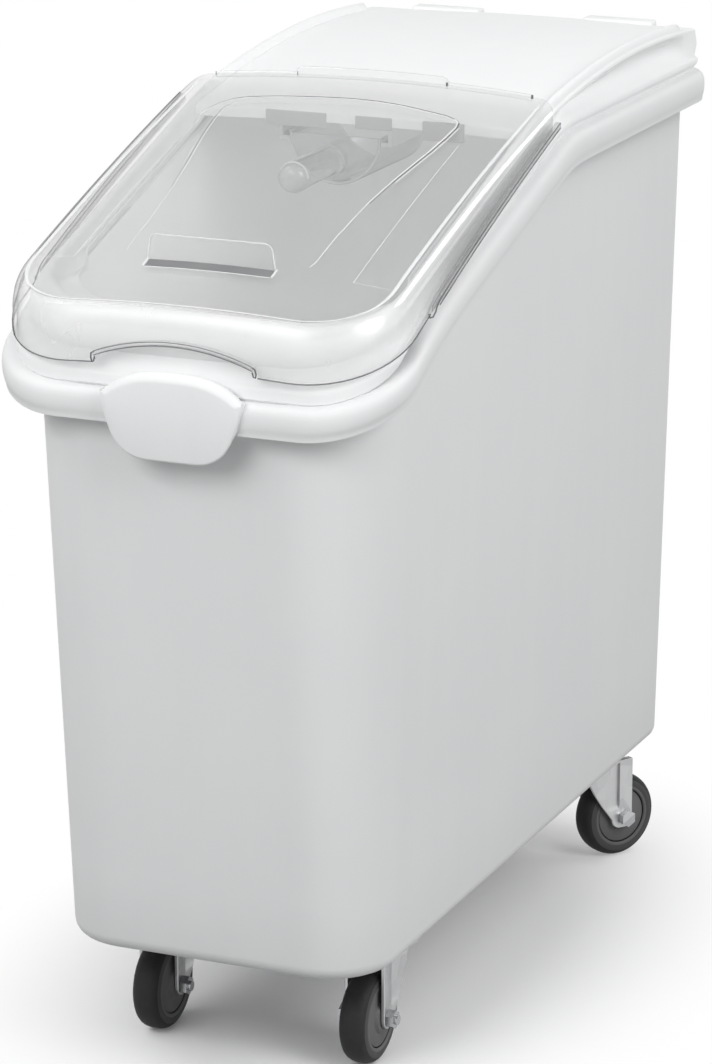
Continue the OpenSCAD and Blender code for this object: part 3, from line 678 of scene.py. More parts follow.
class Piece:
    """One new mesh, built in millimetres and handed over in metres."""

    def __init__(self, name: str) -> None:
        """Starts an empty mesh."""
        self.name = name
        self.mesh = bmesh.new()

    def loft(self, rings: list[list[Point]], wrap: bool = False, caps: tuple[bool, bool] = CLOSED) -> None:
        """Joins closed rings of points by extruding each ring to the next.

        Args:
            rings: Rings with the same number of points.
            wrap: Whether the last ring joins the first.
            caps: Whether the first and the last ring are filled.
        """
        row = [self.mesh.verts.new(p) for p in rings[0]]
        edges = [self.mesh.edges.new(pair) for pair in zip(row, row[1:] + row[:1])]
        if caps[0]:
            bmesh.ops.contextual_create(self.mesh, geom=edges)
        for points in rings[1:] + ([rings[0]] if wrap else []):
            order = {vert: i for i, vert in enumerate(row)}
            made = bmesh.ops.extrude_edge_only(self.mesh, edges=edges)["geom"]
            fresh = {g for g in made if isinstance(g, bmesh.types.BMVert)}
            edges = [g for g in made if isinstance(g, bmesh.types.BMEdge) and fresh.issuperset(g.verts)]
            for vert in fresh:
                near = (e.other_vert(vert) for e in vert.link_edges)
                row[next(order[other] for other in near if other in order)] = vert
            for vert, point in zip(row, points):
                vert.co = point
        if caps[1]:
            bmesh.ops.contextual_create(self.mesh, geom=edges)

    def tube(self, path: list[Point], bar: Bar, share: float = 1.0) -> None:
        """Adds a round bar along a path.

        Args:
            path: The points that the bar's middle follows.
            bar: The bar's section.
            share: How much of the section's radius is used.
        """
        turns = [2.0 * math.pi * k / bar.sides for k in range(bar.sides)]
        wide = bar.radius * share
        spine = [Vector(p) for p in path]
        rings = []
        for i, spot in enumerate(spine):
            ahead = (spine[min(i + 1, len(spine) - 1)] - spine[max(i - 1, 0)]).normalized()
            side = ahead.cross(Vector((0.0, 0.0, 1.0)))
            side = side.normalized() if side.length > 1e-4 else Vector((1.0, 0.0, 0.0))
            up = side.cross(ahead)
            rings.append([tuple(spot + side * wide * math.cos(a) + up * wide * bar.flat * math.sin(a))
                          for a in turns])
        self.loft(rings)

    def spun(self, profile: list[Point], centre: Point, axis: Point, steps: int, closed: bool = True) -> None:
        """Adds a shape that is turned about an axis.

        Args:
            profile: The points that are turned.
            centre: A point on the axis.
            axis: The axis.
            steps: How many steps the turn has.
            closed: Whether the profile's last point joins its first.
        """
        verts = [self.mesh.verts.new(spot) for spot in profile]
        edges = [self.mesh.edges.new(pair) for pair in zip(verts, verts[1:] + verts[:int(closed)])]
        bmesh.ops.spin(self.mesh, geom=[*verts, *edges], cent=centre, axis=axis, angle=2.0 * math.pi,
                       steps=steps, use_merge=True)

    def block(self, low: Point, high: Point, round_by: float = 1.0) -> None:
        """Adds a box with rounded edges.

        Args:
            low: Its lowest corner.
            high: Its highest corner.
            round_by: How far its edges are rounded.
        """
        made = bmesh.ops.create_cube(self.mesh, size=1.0)["verts"]
        bmesh.ops.scale(self.mesh, vec=[b - a for a, b in zip(low, high)], verts=made)
        bmesh.ops.translate(self.mesh, vec=[(a + b) / 2.0 for a, b in zip(low, high)], verts=made)
        edges = list({e for v in made for e in v.link_edges})
        bmesh.ops.bevel(self.mesh, geom=edges, offset=round_by, offset_type="OFFSET", segments=3, profile=0.5,
                        affect="EDGES", material=-1)

    def cut(self, spot: Point, normal: Point) -> None:
        """Cuts off what lies beyond a plane and closes the cut.

        Args:
            spot: A point of the plane.
            normal: The way to what is cut off.
        """
        made = bmesh.ops.bisect_plane(
            self.mesh, geom=[*self.mesh.verts, *self.mesh.edges, *self.mesh.faces], dist=0.0005,
            plane_co=spot, plane_no=normal, clear_outer=True)
        rim = [g for g in made["geom_cut"] if isinstance(g, bmesh.types.BMEdge)]
        bmesh.ops.holes_fill(self.mesh, edges=rim, sides=0)

    def line(self, pick: Callable[[Vector, Vector], int]) -> None:
        """Gives each face one of the piece's finishes.

        Args:
            pick: Tells the finish's number from a face's middle and normal.
        """
        bmesh.ops.recalc_face_normals(self.mesh, faces=self.mesh.faces)
        for face in self.mesh.faces:
            face.material_index = pick(face.calc_center_median(), face.normal)

    def finish(self, finish: Finish, body: str, replaces: tuple[str, ...] = (), sharp: float = 38.0,
               linings: tuple[Finish, ...] = ()) -> bpy.types.Object:
        """Ends the mesh and makes its object.

        Args:
            finish: The piece's material.
            body: The body it rides on.
            replaces: The nodes it stands for.
            sharp: The angle in degrees above which an edge is sharp.
            linings: More finishes, for the faces that line() picked.

        Returns:
            The object.
        """
        bmesh.ops.remove_doubles(self.mesh, verts=self.mesh.verts, dist=0.0004)
        bmesh.ops.recalc_face_normals(self.mesh, faces=self.mesh.faces)
        bmesh.ops.scale(self.mesh, vec=(MM, MM, MM), verts=self.mesh.verts)
        data = bpy.data.meshes.new(self.name)
        self.mesh.to_mesh(data)
        self.mesh.free()
        data.shade_smooth()
        data.set_sharp_from_angle(angle=math.radians(sharp))
        made = linked(self.name, data)
        for coat in (finish, *linings):
            data.materials.append(coat.material())
        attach(made, body)
        if replaces:
            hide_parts(*replaces)
        return made


@dataclass
class Tub:
    """The tapered tub with its rolled rim and the caster bosses on its floor."""

    wall: float = 3.2
    floor_t: float = 5.0
    fillet: float = 12.0
    boss_h: float = 9.0
    boss_root: float = 2.0
    boss_round: float = 1.6
    boss_half: Spot = (30.0, 43.0)
    middle_y: float = 15.0
    lined_h: float = 40.0
    skin: float = 1.0
    level: float = 0.6
    rows: tuple[float, ...] = (0.12, 0.3, 0.5, 0.7, 0.88, 0.97)
    inner_rows: tuple[float, ...] = (0.9, 0.6, 0.3)
    roll: Rows = (
        (0.0, 22.5), (0.55, 23.2), (0.86, 24.0), (0.915, 24.0), (0.925, 22.5), (0.93, 20.5), (0.965, 18.5),
        (0.992, 15.0), (1.0, 11.5), (0.992, 8.0), (0.965, 5.0), (0.91, 2.6), (0.82, 1.0), (0.7, 0.3),
        (0.5, 0.0), (0.0, 0.0))
    lip: Rows = ((0.75, 0.8), (1.0, 2.4))

    def build(self) -> list[bpy.types.Object]:
        """Makes the shell.

        Returns:
            The shell alone.
        """
        piece = Piece("tub_shell")
        tops = LINES.rim_tops()
        floor_in = LINES.floor_z + self.floor_t
        rings = [LINES.wall_ring([LINES.floor_z + lift] * len(tops), inset)
                 for inset, lift in self._fillet(self.fillet, 5)]
        base, under = LINES.floor_z + self.fillet, self.roll[0][1]
        for share in self.rows:
            rings.append(LINES.wall_ring([lerp(base, top - under, share) for top in tops], 0.0))
        edge = LINES.rim_plan(0.0)
        for share, drop in self.roll:
            ring = LINES.wall_ring([top - drop for top in tops], 0.0)
            rings.append([(*between(p, e, share), p[2]) for p, e in zip(ring, edge)])
        for share, drop in self.lip:
            rings.append(LINES.wall_ring([top - drop for top in tops], self.wall * share))
        inner, drop = self.fillet - self.wall, self.lip[-1][1]
        for share in self.inner_rows:
            heights = [lerp(floor_in + inner, top - drop, share) for top in tops]
            rings.append(LINES.wall_ring(heights, self.wall))
        for inset, lift in reversed(self._fillet(inner, 4)):
            rings.append(LINES.wall_ring([floor_in + lift] * len(tops), self.wall + inset))
        piece.loft(rings)
        half_x, half_y = self.boss_half
        for x, y, _ in LINES.seats().values():
            piece.block((x - half_x, y - half_y, floor_in - self.boss_root),
                        (x + half_x, y + half_y, floor_in + self.boss_h), self.boss_round)
        piece.line(self._lined)
        return [piece.finish(TUB_WHITE, Body.BIN.value, ("tub",), linings=(TUB_LINING_PAINTED_LIGHT,))]

    def _fillet(self, radius: float, steps: int) -> Plan:
        """Returns set-ins and heights round a fillet, from the floor to the wall."""
        turns = [math.radians(turn) for turn in spread(0.0, 90.0, steps)]
        return [(radius * (1.0 - math.sin(a)), radius * (1.0 - math.cos(a))) for a in turns]

    def _lined(self, spot: Vector, normal: Vector) -> int:
        """Tells the shell's inside, which gets the lighter lining with its painted glow, from its outside.

        Args:
            spot: The face's middle.
            normal: The face's normal.

        Returns:
            1 for the inside and 0 for the rest.
        """
        up = spot.z - LINES.floor_z
        if abs(spot.x) > LINES.half_at(spot.z) - self.skin or up < self.skin:
            return 0
        inward = -normal.x * spot.x - normal.y * (spot.y - self.middle_y) > 0.0
        return int(inward or normal.z > self.level and up < self.lined_h)


@dataclass
class LidFrame:
    """The white frame on the rim: the window ring, the hood behind it, its stops and the scoop's ledges."""

    foot: Rows = ((12.4, 0.25), (12.0, 2.6), (10.2, 4.6), (9.0, 6.6), (8.8, 8.4), (9.4, 9.9), (11.5, 10.8))
    foot_ahead: Rows = (
        (12.6, 0.25), (12.4, 1.0), (11.0, 1.9), (10.9, 5.0), (11.0, 8.4), (11.3, 9.9), (11.6, 10.8))
    side: Rows = (
        (15.2, -9.0), (15.3, -7.2), (16.2, -6.2), (17.3, -5.6), (17.9, -3.4), (18.8, -1.3), (20.2, -0.25),
        (21.8, 0.0), (23.4, -0.25), (24.8, -1.3), (25.7, -3.4), (26.3, -5.6))
    front: Rows = (
        (14.2, -17.0), (14.5, -13.0), (15.2, -9.5), (16.5, -6.0), (18.5, -3.4), (21.0, -1.5), (24.0, -0.4),
        (27.0, 0.0), (30.0, 0.4), (33.0, 0.8), (36.0, 1.1), (40.0, 1.5))
    shelf: Triples = (
        (0.12, -10.5, 1.7), (0.25, -12.5, 1.9), (0.6, -12.5, 2.4), (0.76, -11.0, 2.8), (0.84, -9.0, 3.0),
        (0.93, -8.5, 3.4), (1.0, -9.2, 3.2), (1.0, -12.5, -1.5))
    rows: tuple[float, ...] = (0.08, 0.2, 0.35, 0.5, 0.65, 0.8, 0.92)
    inner_rows: tuple[float, ...] = (0.5, 0.15)
    inner_foot: Spot = (17.0, 7.0)
    inner_set: float = 19.0
    inner_drop: Point = (-15.5, -13.0, -8.0)
    inner_inset: float = 3.5
    seat: float = 0.25
    crown_mid: float = 21.8
    wall_set: float = 12.0
    wall_lean: float = 3.2
    lean_share: float = 0.6
    scoop_depth: float = 9.0
    front_zone: Spot = (-265.0, -335.0)
    hood_zone: Spot = (-5.0, 60.0)
    rear_zone: Spot = (332.0, 296.0)
    rail_drop: float = -6.0
    rail_run: float = 1.5
    tuck: float = -9.5
    tuck_run: float = 1.0
    window: tuple[float, ...] = (131.0, -299.0, 338.5, 60.0, 4.0)
    hood_half: float = 139.0
    hood_rear: float = 353.0
    hood_drop: float = 6.2
    hood_crown: float = 2.5
    hood_t: float = 3.0
    hood_edge: Rows = ((0.0, -2.2), (0.7, -0.6))
    hood_edge_l: float = 2.2
    band_h: float = 8.0
    band_t: float = 3.0
    pads: Triples = ((-77.0, -25.0, 5.0), (0.0, 31.0, 3.0), (57.0, 92.0, 8.0))
    pad_out: float = 1.2
    pad_in: float = 1.0
    pad_round: float = 0.8
    stop_x: Spot = (48.0, 110.0)
    stop_y: Spot = (350.0, 367.0)
    stop_z: Spot = (722.0, 735.5)
    stop_round: float = 2.2
    ledge_x: float = -50.0
    ledge_wall: float = 46.3
    ledge_reach: float = 40.3
    ledge_t: float = 3.0
    ledge_top: float = 676.2
    ledge_head: float = 722.0
    ledge_rows: tuple[float, ...] = (45.0, 46.0, 90.0, 132.0, 133.0)
    tops: list[float] = field(init=False)
    crests: list[float] = field(init=False)
    ahead: list[float] = field(init=False)
    hooded: list[float] = field(init=False)

    def __post_init__(self) -> None:
        """Works out the heights and zones at each point of the outlines."""
        middle = [y for _, y in LINES.crown_plan(self.crown_mid)]
        self.tops = LINES.rim_tops()
        self.crests = [LINES.crest(y) for y in middle]
        self.ahead = [ease(*self.front_zone, y) for y in middle]
        self.hooded = [ease(*self.hood_zone, y) * ease(*self.rear_zone, y) for y in middle]

    def build(self) -> list[bpy.types.Object]:
        """Makes the frame's pieces and returns them."""
        return [self._ring(), self._hood(), self._pads(), self._stops(), self._ledges()]

    def _ring(self) -> bpy.types.Object:
        """Makes the ring that goes all round: foot, flank, crown and window lip.

        Returns:
            The ring.
        """
        piece = Piece("lid_frame_shell")
        middle = [y for _, y in LINES.crown_plan(self.crown_mid)]
        behind = [ease(LINES.rail_end, LINES.rail_end + self.rail_run, y) for y in middle]
        hood_from, hood_to = LINES.hood_front - self.tuck_run, LINES.hood_front + self.tuck_run
        covered = [ease(hood_from, hood_to, y) for y in middle]
        rings = []
        for (set_a, up_a), (set_b, up_b) in zip(self.foot, self.foot_ahead):
            plans = LINES.foot_plan(set_a), LINES.foot_plan(set_b)
            rings.append([(*between(a, b, w), top + lerp(up_a, up_b, w))
                          for a, b, w, top in zip(*plans, self.ahead, self.tops)])
        rings += [self._flank(share, self.foot[-1], 0.0) for share in self.rows]
        for (set_a, up_a), (set_b, up_b) in zip(self.side, self.front):
            plans = LINES.crown_plan(set_a), LINES.crown_plan(set_b)
            low = min(up_a, self.rail_drop)
            rings.append([(*between(a, b, w), crest + lerp(lerp(up_a, low, r), up_b, w))
                          for a, b, w, r, crest in zip(*plans, self.ahead, behind, self.crests)])
        edge, window = rings[-1], LINES.outline(*self.window)
        for share, up_a, up_b in self.shelf:
            rings.append([(*between(e, p, share), crest + lerp(lerp(up_a, self.tuck, c), up_b, w))
                          for e, p, w, c, crest in zip(edge, window, self.ahead, covered, self.crests)])
        open_z, covered_z, front_z = self.inner_drop
        rings.append([(*spot, crest + lerp(lerp(open_z, covered_z, c), front_z, w)) for spot, w, c, crest
                      in zip(LINES.crown_plan(self.inner_set), self.ahead, covered, self.crests)])
        rings += [self._flank(share, self.inner_foot, self.inner_inset) for share in self.inner_rows]
        rings.append([(*spot, top + self.seat)
                      for spot, top in zip(LINES.rim_plan(self.inner_foot[0]), self.tops)])
        piece.loft(rings, wrap=True, caps=(False, False))
        return piece.finish(FRAME_WHITE, Body.BIN.value, ("lid_frame",))

    def _flank(self, share: float, last: Spot, inset: float) -> list[Point]:
        """Gives one ring of the wall between the foot and the crown.

        Args:
            share: How far up the wall the ring is.
            last: The foot's last set-in and height.
            inset: How far the ring lies inside the outer face.

        Returns:
            The ring's points.
        """
        bow, across = math.sin(math.pi * share), ease(0.0, self.lean_share, share)
        lean = share * self.wall_lean
        low = LINES.foot_plan(last[0] + lean)
        high = LINES.crown_plan(self.wall_set + inset + lean)
        deep = LINES.crown_plan(self.wall_set + inset + lean + self.scoop_depth)
        zones = self.tops, self.crests, self.ahead, self.hooded
        ring = []
        for a, b, c, top, crest, w, h in zip(low, high, deep, *zones):
            x, y = between(a, b, across)
            head = crest + lerp(self.side[0][1], self.front[0][1], w)
            ring.append((x + (c[0] - b[0]) * bow * h, y + (c[1] - b[1]) * bow * h,
                         lerp(top + last[1], head, share)))
        return ring

    def _hood(self) -> bpy.types.Object:
        """Makes the hood's sheet with its turned-down front edge.

        Returns:
            The hood.
        """
        piece = Piece("hood_panel")
        front, edge_z = LINES.hood_front, LINES.hood_arc(LINES.hood_front)
        ys = spread(front + self.hood_edge_l, self.hood_rear, 36)
        section = [(front + back, edge_z + up) for back, up in self.hood_edge]
        section += [(y, LINES.hood_arc(y)) for y in ys]
        section += [(y, LINES.hood_arc(y) - self.hood_t) for y in reversed(ys[1:])]
        section += [(front + self.band_t, edge_z - self.band_h), (front, edge_z - self.band_h)]
        rings = []
        for x in spread(-self.hood_half, self.hood_half, 40):
            rise = self.hood_crown * (1.0 - (x / self.hood_half) ** 2) - self.hood_drop
            rings.append([(x, y, z + rise) for y, z in section])
        piece.loft(rings)
        return piece.finish(FRAME_WHITE, Body.BIN.value)

    def _pads(self) -> bpy.types.Object:
        """Makes the three grey pads on the hood's front edge, dark blocks of painted shade at that edge.

        Returns:
            The pads as one object.
        """
        piece = Piece("hood_edge_painted_shade_pads")
        front = LINES.hood_front
        low = LINES.hood_arc(front) - self.hood_drop - self.band_h + self.hood_crown
        for left, right, down in self.pads:
            piece.block((left, front - self.pad_out, low - down),
                        (right, front + self.pad_in, low + self.band_h - self.pad_round), self.pad_round)
        return piece.finish(PAINTED_SHADE_GREY, Body.BIN.value)

    def _stops(self) -> bpy.types.Object:
        """Makes the two stops at the rear.

        Returns:
            The stops as one object.
        """
        piece = Piece("hood_stops")
        for side in SIDES:
            xs = sorted(side * x for x in self.stop_x)
            low, high = zip(xs, self.stop_y, self.stop_z)
            piece.block(low, high, self.stop_round)
        return piece.finish(FRAME_WHITE, Body.BIN.value)

    def _ledges(self) -> bpy.types.Object:
        """Makes the two ledges that carry the scoop.

        Returns:
            The ledges as one object.
        """
        piece = Piece("scoop_ledges")
        under, top, head = self.ledge_top - self.ledge_t, self.ledge_top, self.ledge_head
        for side in SIDES:
            wall, reach = self.ledge_x + side * self.ledge_wall, self.ledge_x + side * self.ledge_reach
            out = wall + side * self.ledge_t
            section = [(out, head), (out, under), (reach, under), (reach, top), (wall, top), (wall, head)]
            piece.loft([[(x, y, min(z, LINES.hood_arc(y) - self.hood_drop)) for x, z in section]
                        for y in self.ledge_rows])
        return piece.finish(FRAME_WHITE, Body.BIN.value)


@dataclass(frozen=True)
class Stroke:
    """A thin line along a stretch of the recess's side, dark or bright, shifted out and back."""

    first: int | None
    last: int
    bar: Bar
    bright: bool = False
    shift: Spot = (0.0, 0.0)


@dataclass
class ClearLid:
    """The clear lid: a crowned sheet with skirts, lips, folds, a finger tab and the bead it tips on."""

    half: float = 160.0
    front: float = -362.0
    rear: float = 282.0
    corner: float = 72.0
    bead_y: float = 4.0
    bead_z: float = 726.89
    bead_r: float = 3.0
    bead_half: float = 137.0
    slope: float = math.tan(math.radians(17.0))
    sag: float = 6.0
    crown_r: float = 1500.0
    thick: float = 3.0
    skirts: Rows = ((-362.0, 41.0), (-217.0, 30.0), (4.0, 15.0))
    round_share: float = 0.65
    bend_share: float = 0.6
    shoulder: float = 15.5
    shoulder_front: float = 10.5
    shoulder_zone: Spot = (-285.0, -345.0)
    shrink: tuple[float, ...] = (0.08, 0.25, 0.45, 0.65, 0.82, 0.93)
    arch_half: float = 65.0
    arch_h: float = 16.6
    arch_sag: float = 12.4
    arch_hook: float = 0.96
    hook_from: float = 58.0
    arch_section: Rows = (
        (-359.0, 0.0), (-365.6, 0.0), (-366.6, 0.6), (-366.9, 1.6), (-366.6, 2.6), (-365.6, 3.2),
        (-359.0, 3.2))
    lip_from: float = -262.0
    lip_to: float = -6.0
    lip_out: float = 3.0
    lip_zone: Spot = (-0.02, 0.12)
    lip_section: Rows = (
        (-0.4, 0.0), (0.55, 0.0), (0.95, 0.7), (1.0, 1.8), (1.0, 3.4), (0.9, 4.4), (0.5, 5.0), (-0.4, 5.0))
    cut_y: float = 5.5
    rear_corner: float = 18.0
    rear_set: float = 3.0
    rear_turns: Point = (68.0, 45.0, 22.0)
    painted_shade_from: float = -292.0
    front_to: float = -295.0
    outer_skin: float = 1.6
    inner_skin: float = 4.4
    level: float = 0.8
    edge_half: float = 135.0
    edge_low: float = 2.6
    edge_tab: float = 4.2
    edge_ends: Spot = (62.0, 65.0)
    edge_section: Triples = (
        (1.2, 0.0, -2.0), (1.2, 1.0, -0.8), (1.9, 1.0, 0.0), (3.6, 1.0, 0.0), (4.4, 1.0, -0.8),
        (4.4, 0.0, -2.0))
    edge_pins: Spot = (64.0, 135.5)
    edge_pin_y: float = 2.8
    edge_pin_z: Spot = (-0.5, 2.4)
    finger_y: float = -297.0
    finger_half: float = 52.0
    finger_foot: Rows = ((52.0, -2.5), (52.0, 0.0), (51.2, 5.0), (50.4, 9.0))
    finger_rim: Rows = ((51.6, 0.5), (50.8, 5.0), (50.2, 9.0))
    finger_rim_y: float = -298.5
    finger_round: Spot = (43.0, 12.0)
    finger_r: float = 7.0
    finger_rows: Rows = ((-298.6, 0.7), (-298.2, 0.0), (-295.8, 0.0), (-295.4, 0.7))
    finger_head: float = 10.0
    shade_half: float = 50.5
    shade_far: Spot = (9.0, 0.4)
    shade_z: Spot = (-0.4, 0.3)
    shade_line: Spot = (51.0, 9.6)
    recess_rear: Rows = (
        (-114.6, -78.0), (-112.0, -62.0), (-106.0, -52.0), (-98.0, -44.5), (-87.0, -40.6), (-62.0, -38.2),
        (-37.5, -37.0), (0.0, -35.5), (22.6, -36.5), (45.0, -39.5), (65.0, -43.7), (84.0, -47.6),
        (94.4, -52.3))
    recess_side: Rows = (
        (94.4, -52.3), (98.4, -57.0), (99.7, -65.0), (98.4, -84.0), (95.5, -107.5), (86.4, -160.0),
        (81.7, -194.0), (77.8, -247.0), (77.2, -280.0), (75.5, -287.0), (70.8, -291.0), (52.7, -297.0))
    rear_glint: float = 1.2
    strengths: Spot = (0.4, 1.0)
    strokes: tuple[Stroke, ...] = (
        Stroke(None, -6, Bar(0.46, 6, 0.6)), Stroke(3, -5, Bar(0.3, 6, 0.6)),
        *(Stroke(None, last, Bar(thick, 8, 0.8), True, (-1.3, 0.4)) for last, thick in (
            (-7, 0.8), (-6, 0.65), (-5, 0.5), (-2, 0.36))),
        Stroke(2, -6, Bar(0.4, 8, 0.8), True, (1.8, 0.0)))
    creases: tuple[tuple[Rows, Bar], ...] = (
        (((112.0, -92.0), (113.0, -297.0)), Bar(0.2, 6, 0.5)),
        (((113.0, -297.0), (148.0, -297.5)), Bar(0.2, 6, 0.5)),
        (((52.0, -296.0), (52.0, -306.0)), Bar(0.9, 8, 0.8)))
    rear_bar: Bar = Bar(0.5, 6, 0.6)
    rear_glint_bar: Bar = Bar(0.45, 6, 0.8)
    pin_bar: Bar = Bar(1.0)
    ring_bar: Bar = Bar(1.5, 8, 0.2)
    rim_bar: Bar = Bar(0.38, 6)
    shoulder_bar: Bar = Bar(0.7)
    shade_bar: Bar = Bar(0.6, 8, 0.6)
    arch_bar: Bar = Bar(0.32, 6)
    hem_bar: Bar = Bar(0.5, 6)
    hook_bar: Bar = Bar(0.6)
    arch_line_half: float = 63.5
    arch_line_y: float = -366.4
    arch_lines: Spot = (0.1, 3.2)
    arch_end: Triples = (
        (63.2, -366.2, 2.8), (65.6, -366.0, 1.6), (66.2, -365.2, -2.0), (65.6, -364.8, -5.0),
        (64.0, -364.8, -4.6), (63.2, -365.2, -1.0))
    lip_hook: Triples = (
        (2.7, 10.0, 4.4), (2.7, 4.0, 3.0), (2.7, 1.0, 0.6), (2.4, -3.0, -0.8), (1.2, -6.0, 0.2),
        (0.5, -6.6, 3.4))
    lip_lines: Rows = ((2.6, 0.4), (2.7, 4.4))
    lip_line_set: float = 10.0
    hem_to: float = -256.0
    hem_up: float = 0.3
    shoulder_line: Spot = (-14.0, -338.0)
    shoulder_run: Spot = (-262.0, -342.0)
    shoulder_shares: Spot = (0.4, 1.0)
    ring_rear: float = -8.0
    ring_share: float = 0.02
    halvings: int = 24
    flat: Plan = field(init=False)
    deep: Plan = field(init=False)

    def __post_init__(self) -> None:
        """Works out the sheet's outline and the outline set in by half the corner's radius."""
        self.flat, self.deep = self.plan(0.0), self.plan(self.corner / 2.0)

    def top(self, x: float, y: float) -> float:
        """Gives the height of the sheet's outer face.

        Args:
            x: The place along X.
            y: The place along Y.

        Returns:
            The height.
        """
        middle, span = (self.front + self.bead_y) / 2.0, (self.bead_y - self.front) / 2.0
        line = self.bead_z + self.bead_r - (self.bead_y - y) * self.slope
        bow = self.sag * (1.0 - ((y - middle) / span) ** 2)
        return line + bow + (self.bead_half ** 2 - x ** 2) / (2.0 * self.crown_r)

    def hem(self, y: float) -> float:
        """Returns the height of a side skirt's hem at a place along Y."""
        return self.top(self.half, y) - along(self.skirts, y)

    def plan(self, set_in: float) -> Plan:
        """Returns the sheet's outline, set in by a distance."""
        corner = self.corner - set_in
        return LINES.outline(self.half - set_in, self.front + set_in, self.rear - set_in, corner, corner)

    def arch(self, x: float) -> float:
        """Gives the height of the arched cut-out's edge.

        Args:
            x: The place along X.

        Returns:
            The height.
        """
        hem = self.top(0.0, self.front) - self.skirts[0][1]
        radius = (self.arch_half ** 2 + self.arch_sag ** 2) / (2.0 * self.arch_sag)
        return hem + self.arch_h - radius + math.sqrt(radius ** 2 - min(abs(x), self.arch_half) ** 2)

    def build(self) -> list[bpy.types.Object]:
        """Makes the lid's pieces and returns them."""
        return [self._sheet(), self._rear_edge(), self._lips(), self._finger(), *self._folds(), self._shade()]

    def _edge_point(self, i: int, share: float, inner: bool = False) -> Point:
        """Gives a point on the rounded edge and skirt.

        Args:
            i: The point's number on the outline.
            share: How far down the edge it is, from the sheet to the hem.
            inner: Whether it is on the inner face.

        Returns:
            The point.
        """
        depth = along(self.skirts, self.flat[i][1])
        bend = self.round_share * depth
        skin = self.thick if inner else 0.0
        shoulder = lerp(self.shoulder, self.shoulder_front, ease(*self.shoulder_zone, self.flat[i][1]))
        if share < self.bend_share:
            turn = math.radians(90.0 * share / self.bend_share)
            set_in = shoulder - (shoulder - skin) * math.sin(turn)
            drop = bend - (bend - skin) * math.cos(turn)
        else:
            set_in = skin
            drop = lerp(bend, depth, (share - self.bend_share) / (1.0 - self.bend_share))
        x, y = between(self.flat[i], self.deep[i], set_in / (self.corner / 2.0))
        return x, y, self.top(x, y) - drop

    def _reach(self, i: int) -> float:
        """Gives how far down the edge goes at a point.

        Args:
            i: The point's number on the outline.

        Returns:
            The share of the way to the hem, less than 1 over the arch.
        """
        x, y = self.flat[i]
        if y > self.front + 1.0 or abs(x) >= self.arch_half:
            return 1.0
        low, high = 0.0, 1.0
        for _ in range(self.halvings):
            share = (low + high) / 2.0
            if self._edge_point(i, share)[2] > self.arch(x):
                low = share
            else:
                high = share
        return low

    def _sheet(self) -> bpy.types.Object:
        """Makes the sheet with its skirts, cut along its rear edge.

        Returns:
            The sheet.
        """
        piece = Piece("clear_lid_shell")
        reach = [self._reach(i) for i in range(len(self.flat))]
        outer, inner = (
            [[self._edge_point(i, share * end, inside) for i, end in enumerate(reach)]
             for share in spread(0.0, 1.0, 14)] for inside in (False, True))
        middle = (self.front + self.bead_y) / 2.0

        def sheet(ring: list[Point], share: float, drop: float) -> list[Point]:
            """Returns a ring of the sheet itself, drawn in towards the middle."""
            spots = [(p[0] * share, lerp(middle, p[1], share)) for p in ring]
            return [(x, y, self.top(x, y) - drop) for x, y in spots]

        rings = [sheet(inner[0], s, self.thick) for s in self.shrink] + inner + outer[::-1]
        rings += [sheet(outer[0], s, 0.0) for s in reversed(self.shrink)]
        piece.loft(rings)
        bmesh.ops.recalc_face_normals(piece.mesh, faces=piece.mesh.faces)
        piece.cut((0.0, self.cut_y, 0.0), (0.0, 1.0, 0.0))
        r = self.rear_corner
        for side in SIDES:
            for turn in (math.radians(turn) for turn in self.rear_turns):
                normal = (side * math.cos(turn), math.sin(turn), 0.0)
                piece.cut((side * (self.half - self.rear_set - r) + r * normal[0],
                           self.cut_y - r + r * normal[1], 0.0), normal)
        piece.line(self._zone)
        return piece.finish(
            LID_CLEAR, Body.LID.value, ("clear_lid",), 32.0, (LID_SHEET_PAINTED_SHADE_AND_LIGHT, LID_RIGHT_SKIRT_PAINTED_SHADE, LID_FRONT_PAINTED_LIGHT))

    def _zone(self, spot: Vector, normal: Vector) -> int:
        """Tells the parts of the sheet that have finishes of their own, which paint light and shade on them.

        Args:
            spot: The face's middle.
            normal: The face's normal.

        Returns:
            1: level sheet, painted veil; 2: right skirt, painted shade; 3: front edge, painted light; 0: the
               rest.
        """
        skin = self.outer_skin if normal.x * spot.x > 0.0 else self.inner_skin
        # The right skirt's faces get the finish with the painted shade.
        if spot.x > self.half - skin and spot.y > self.painted_shade_from:
            return 2
        inside = abs(spot.x) < self.half - self.shoulder and spot.y > self.front + self.shoulder_front
        sheet = inside and abs(normal.z) > self.level
        return 3 if spot.y < self.front_to and not sheet else int(sheet)

    def _rear_edge(self) -> bpy.types.Object:
        """Makes the upright bead along the rear edge and its taller middle.

        Returns:
            The bead.
        """
        piece = Piece("lid_rear_bead")
        near, far = self.edge_ends
        rings = []
        for x in spread(-self.edge_half, self.edge_half, 90):
            up = self.top(x, self.bead_y)
            tall = self.edge_low + self.edge_tab * (ease(-far, -near, x) - ease(near, far, x))
            rings.append([(x, y, up + tall * share + rise) for y, share, rise in self.edge_section])
        piece.loft(rings)
        return piece.finish(LID_CLEAR, Body.LID.value)

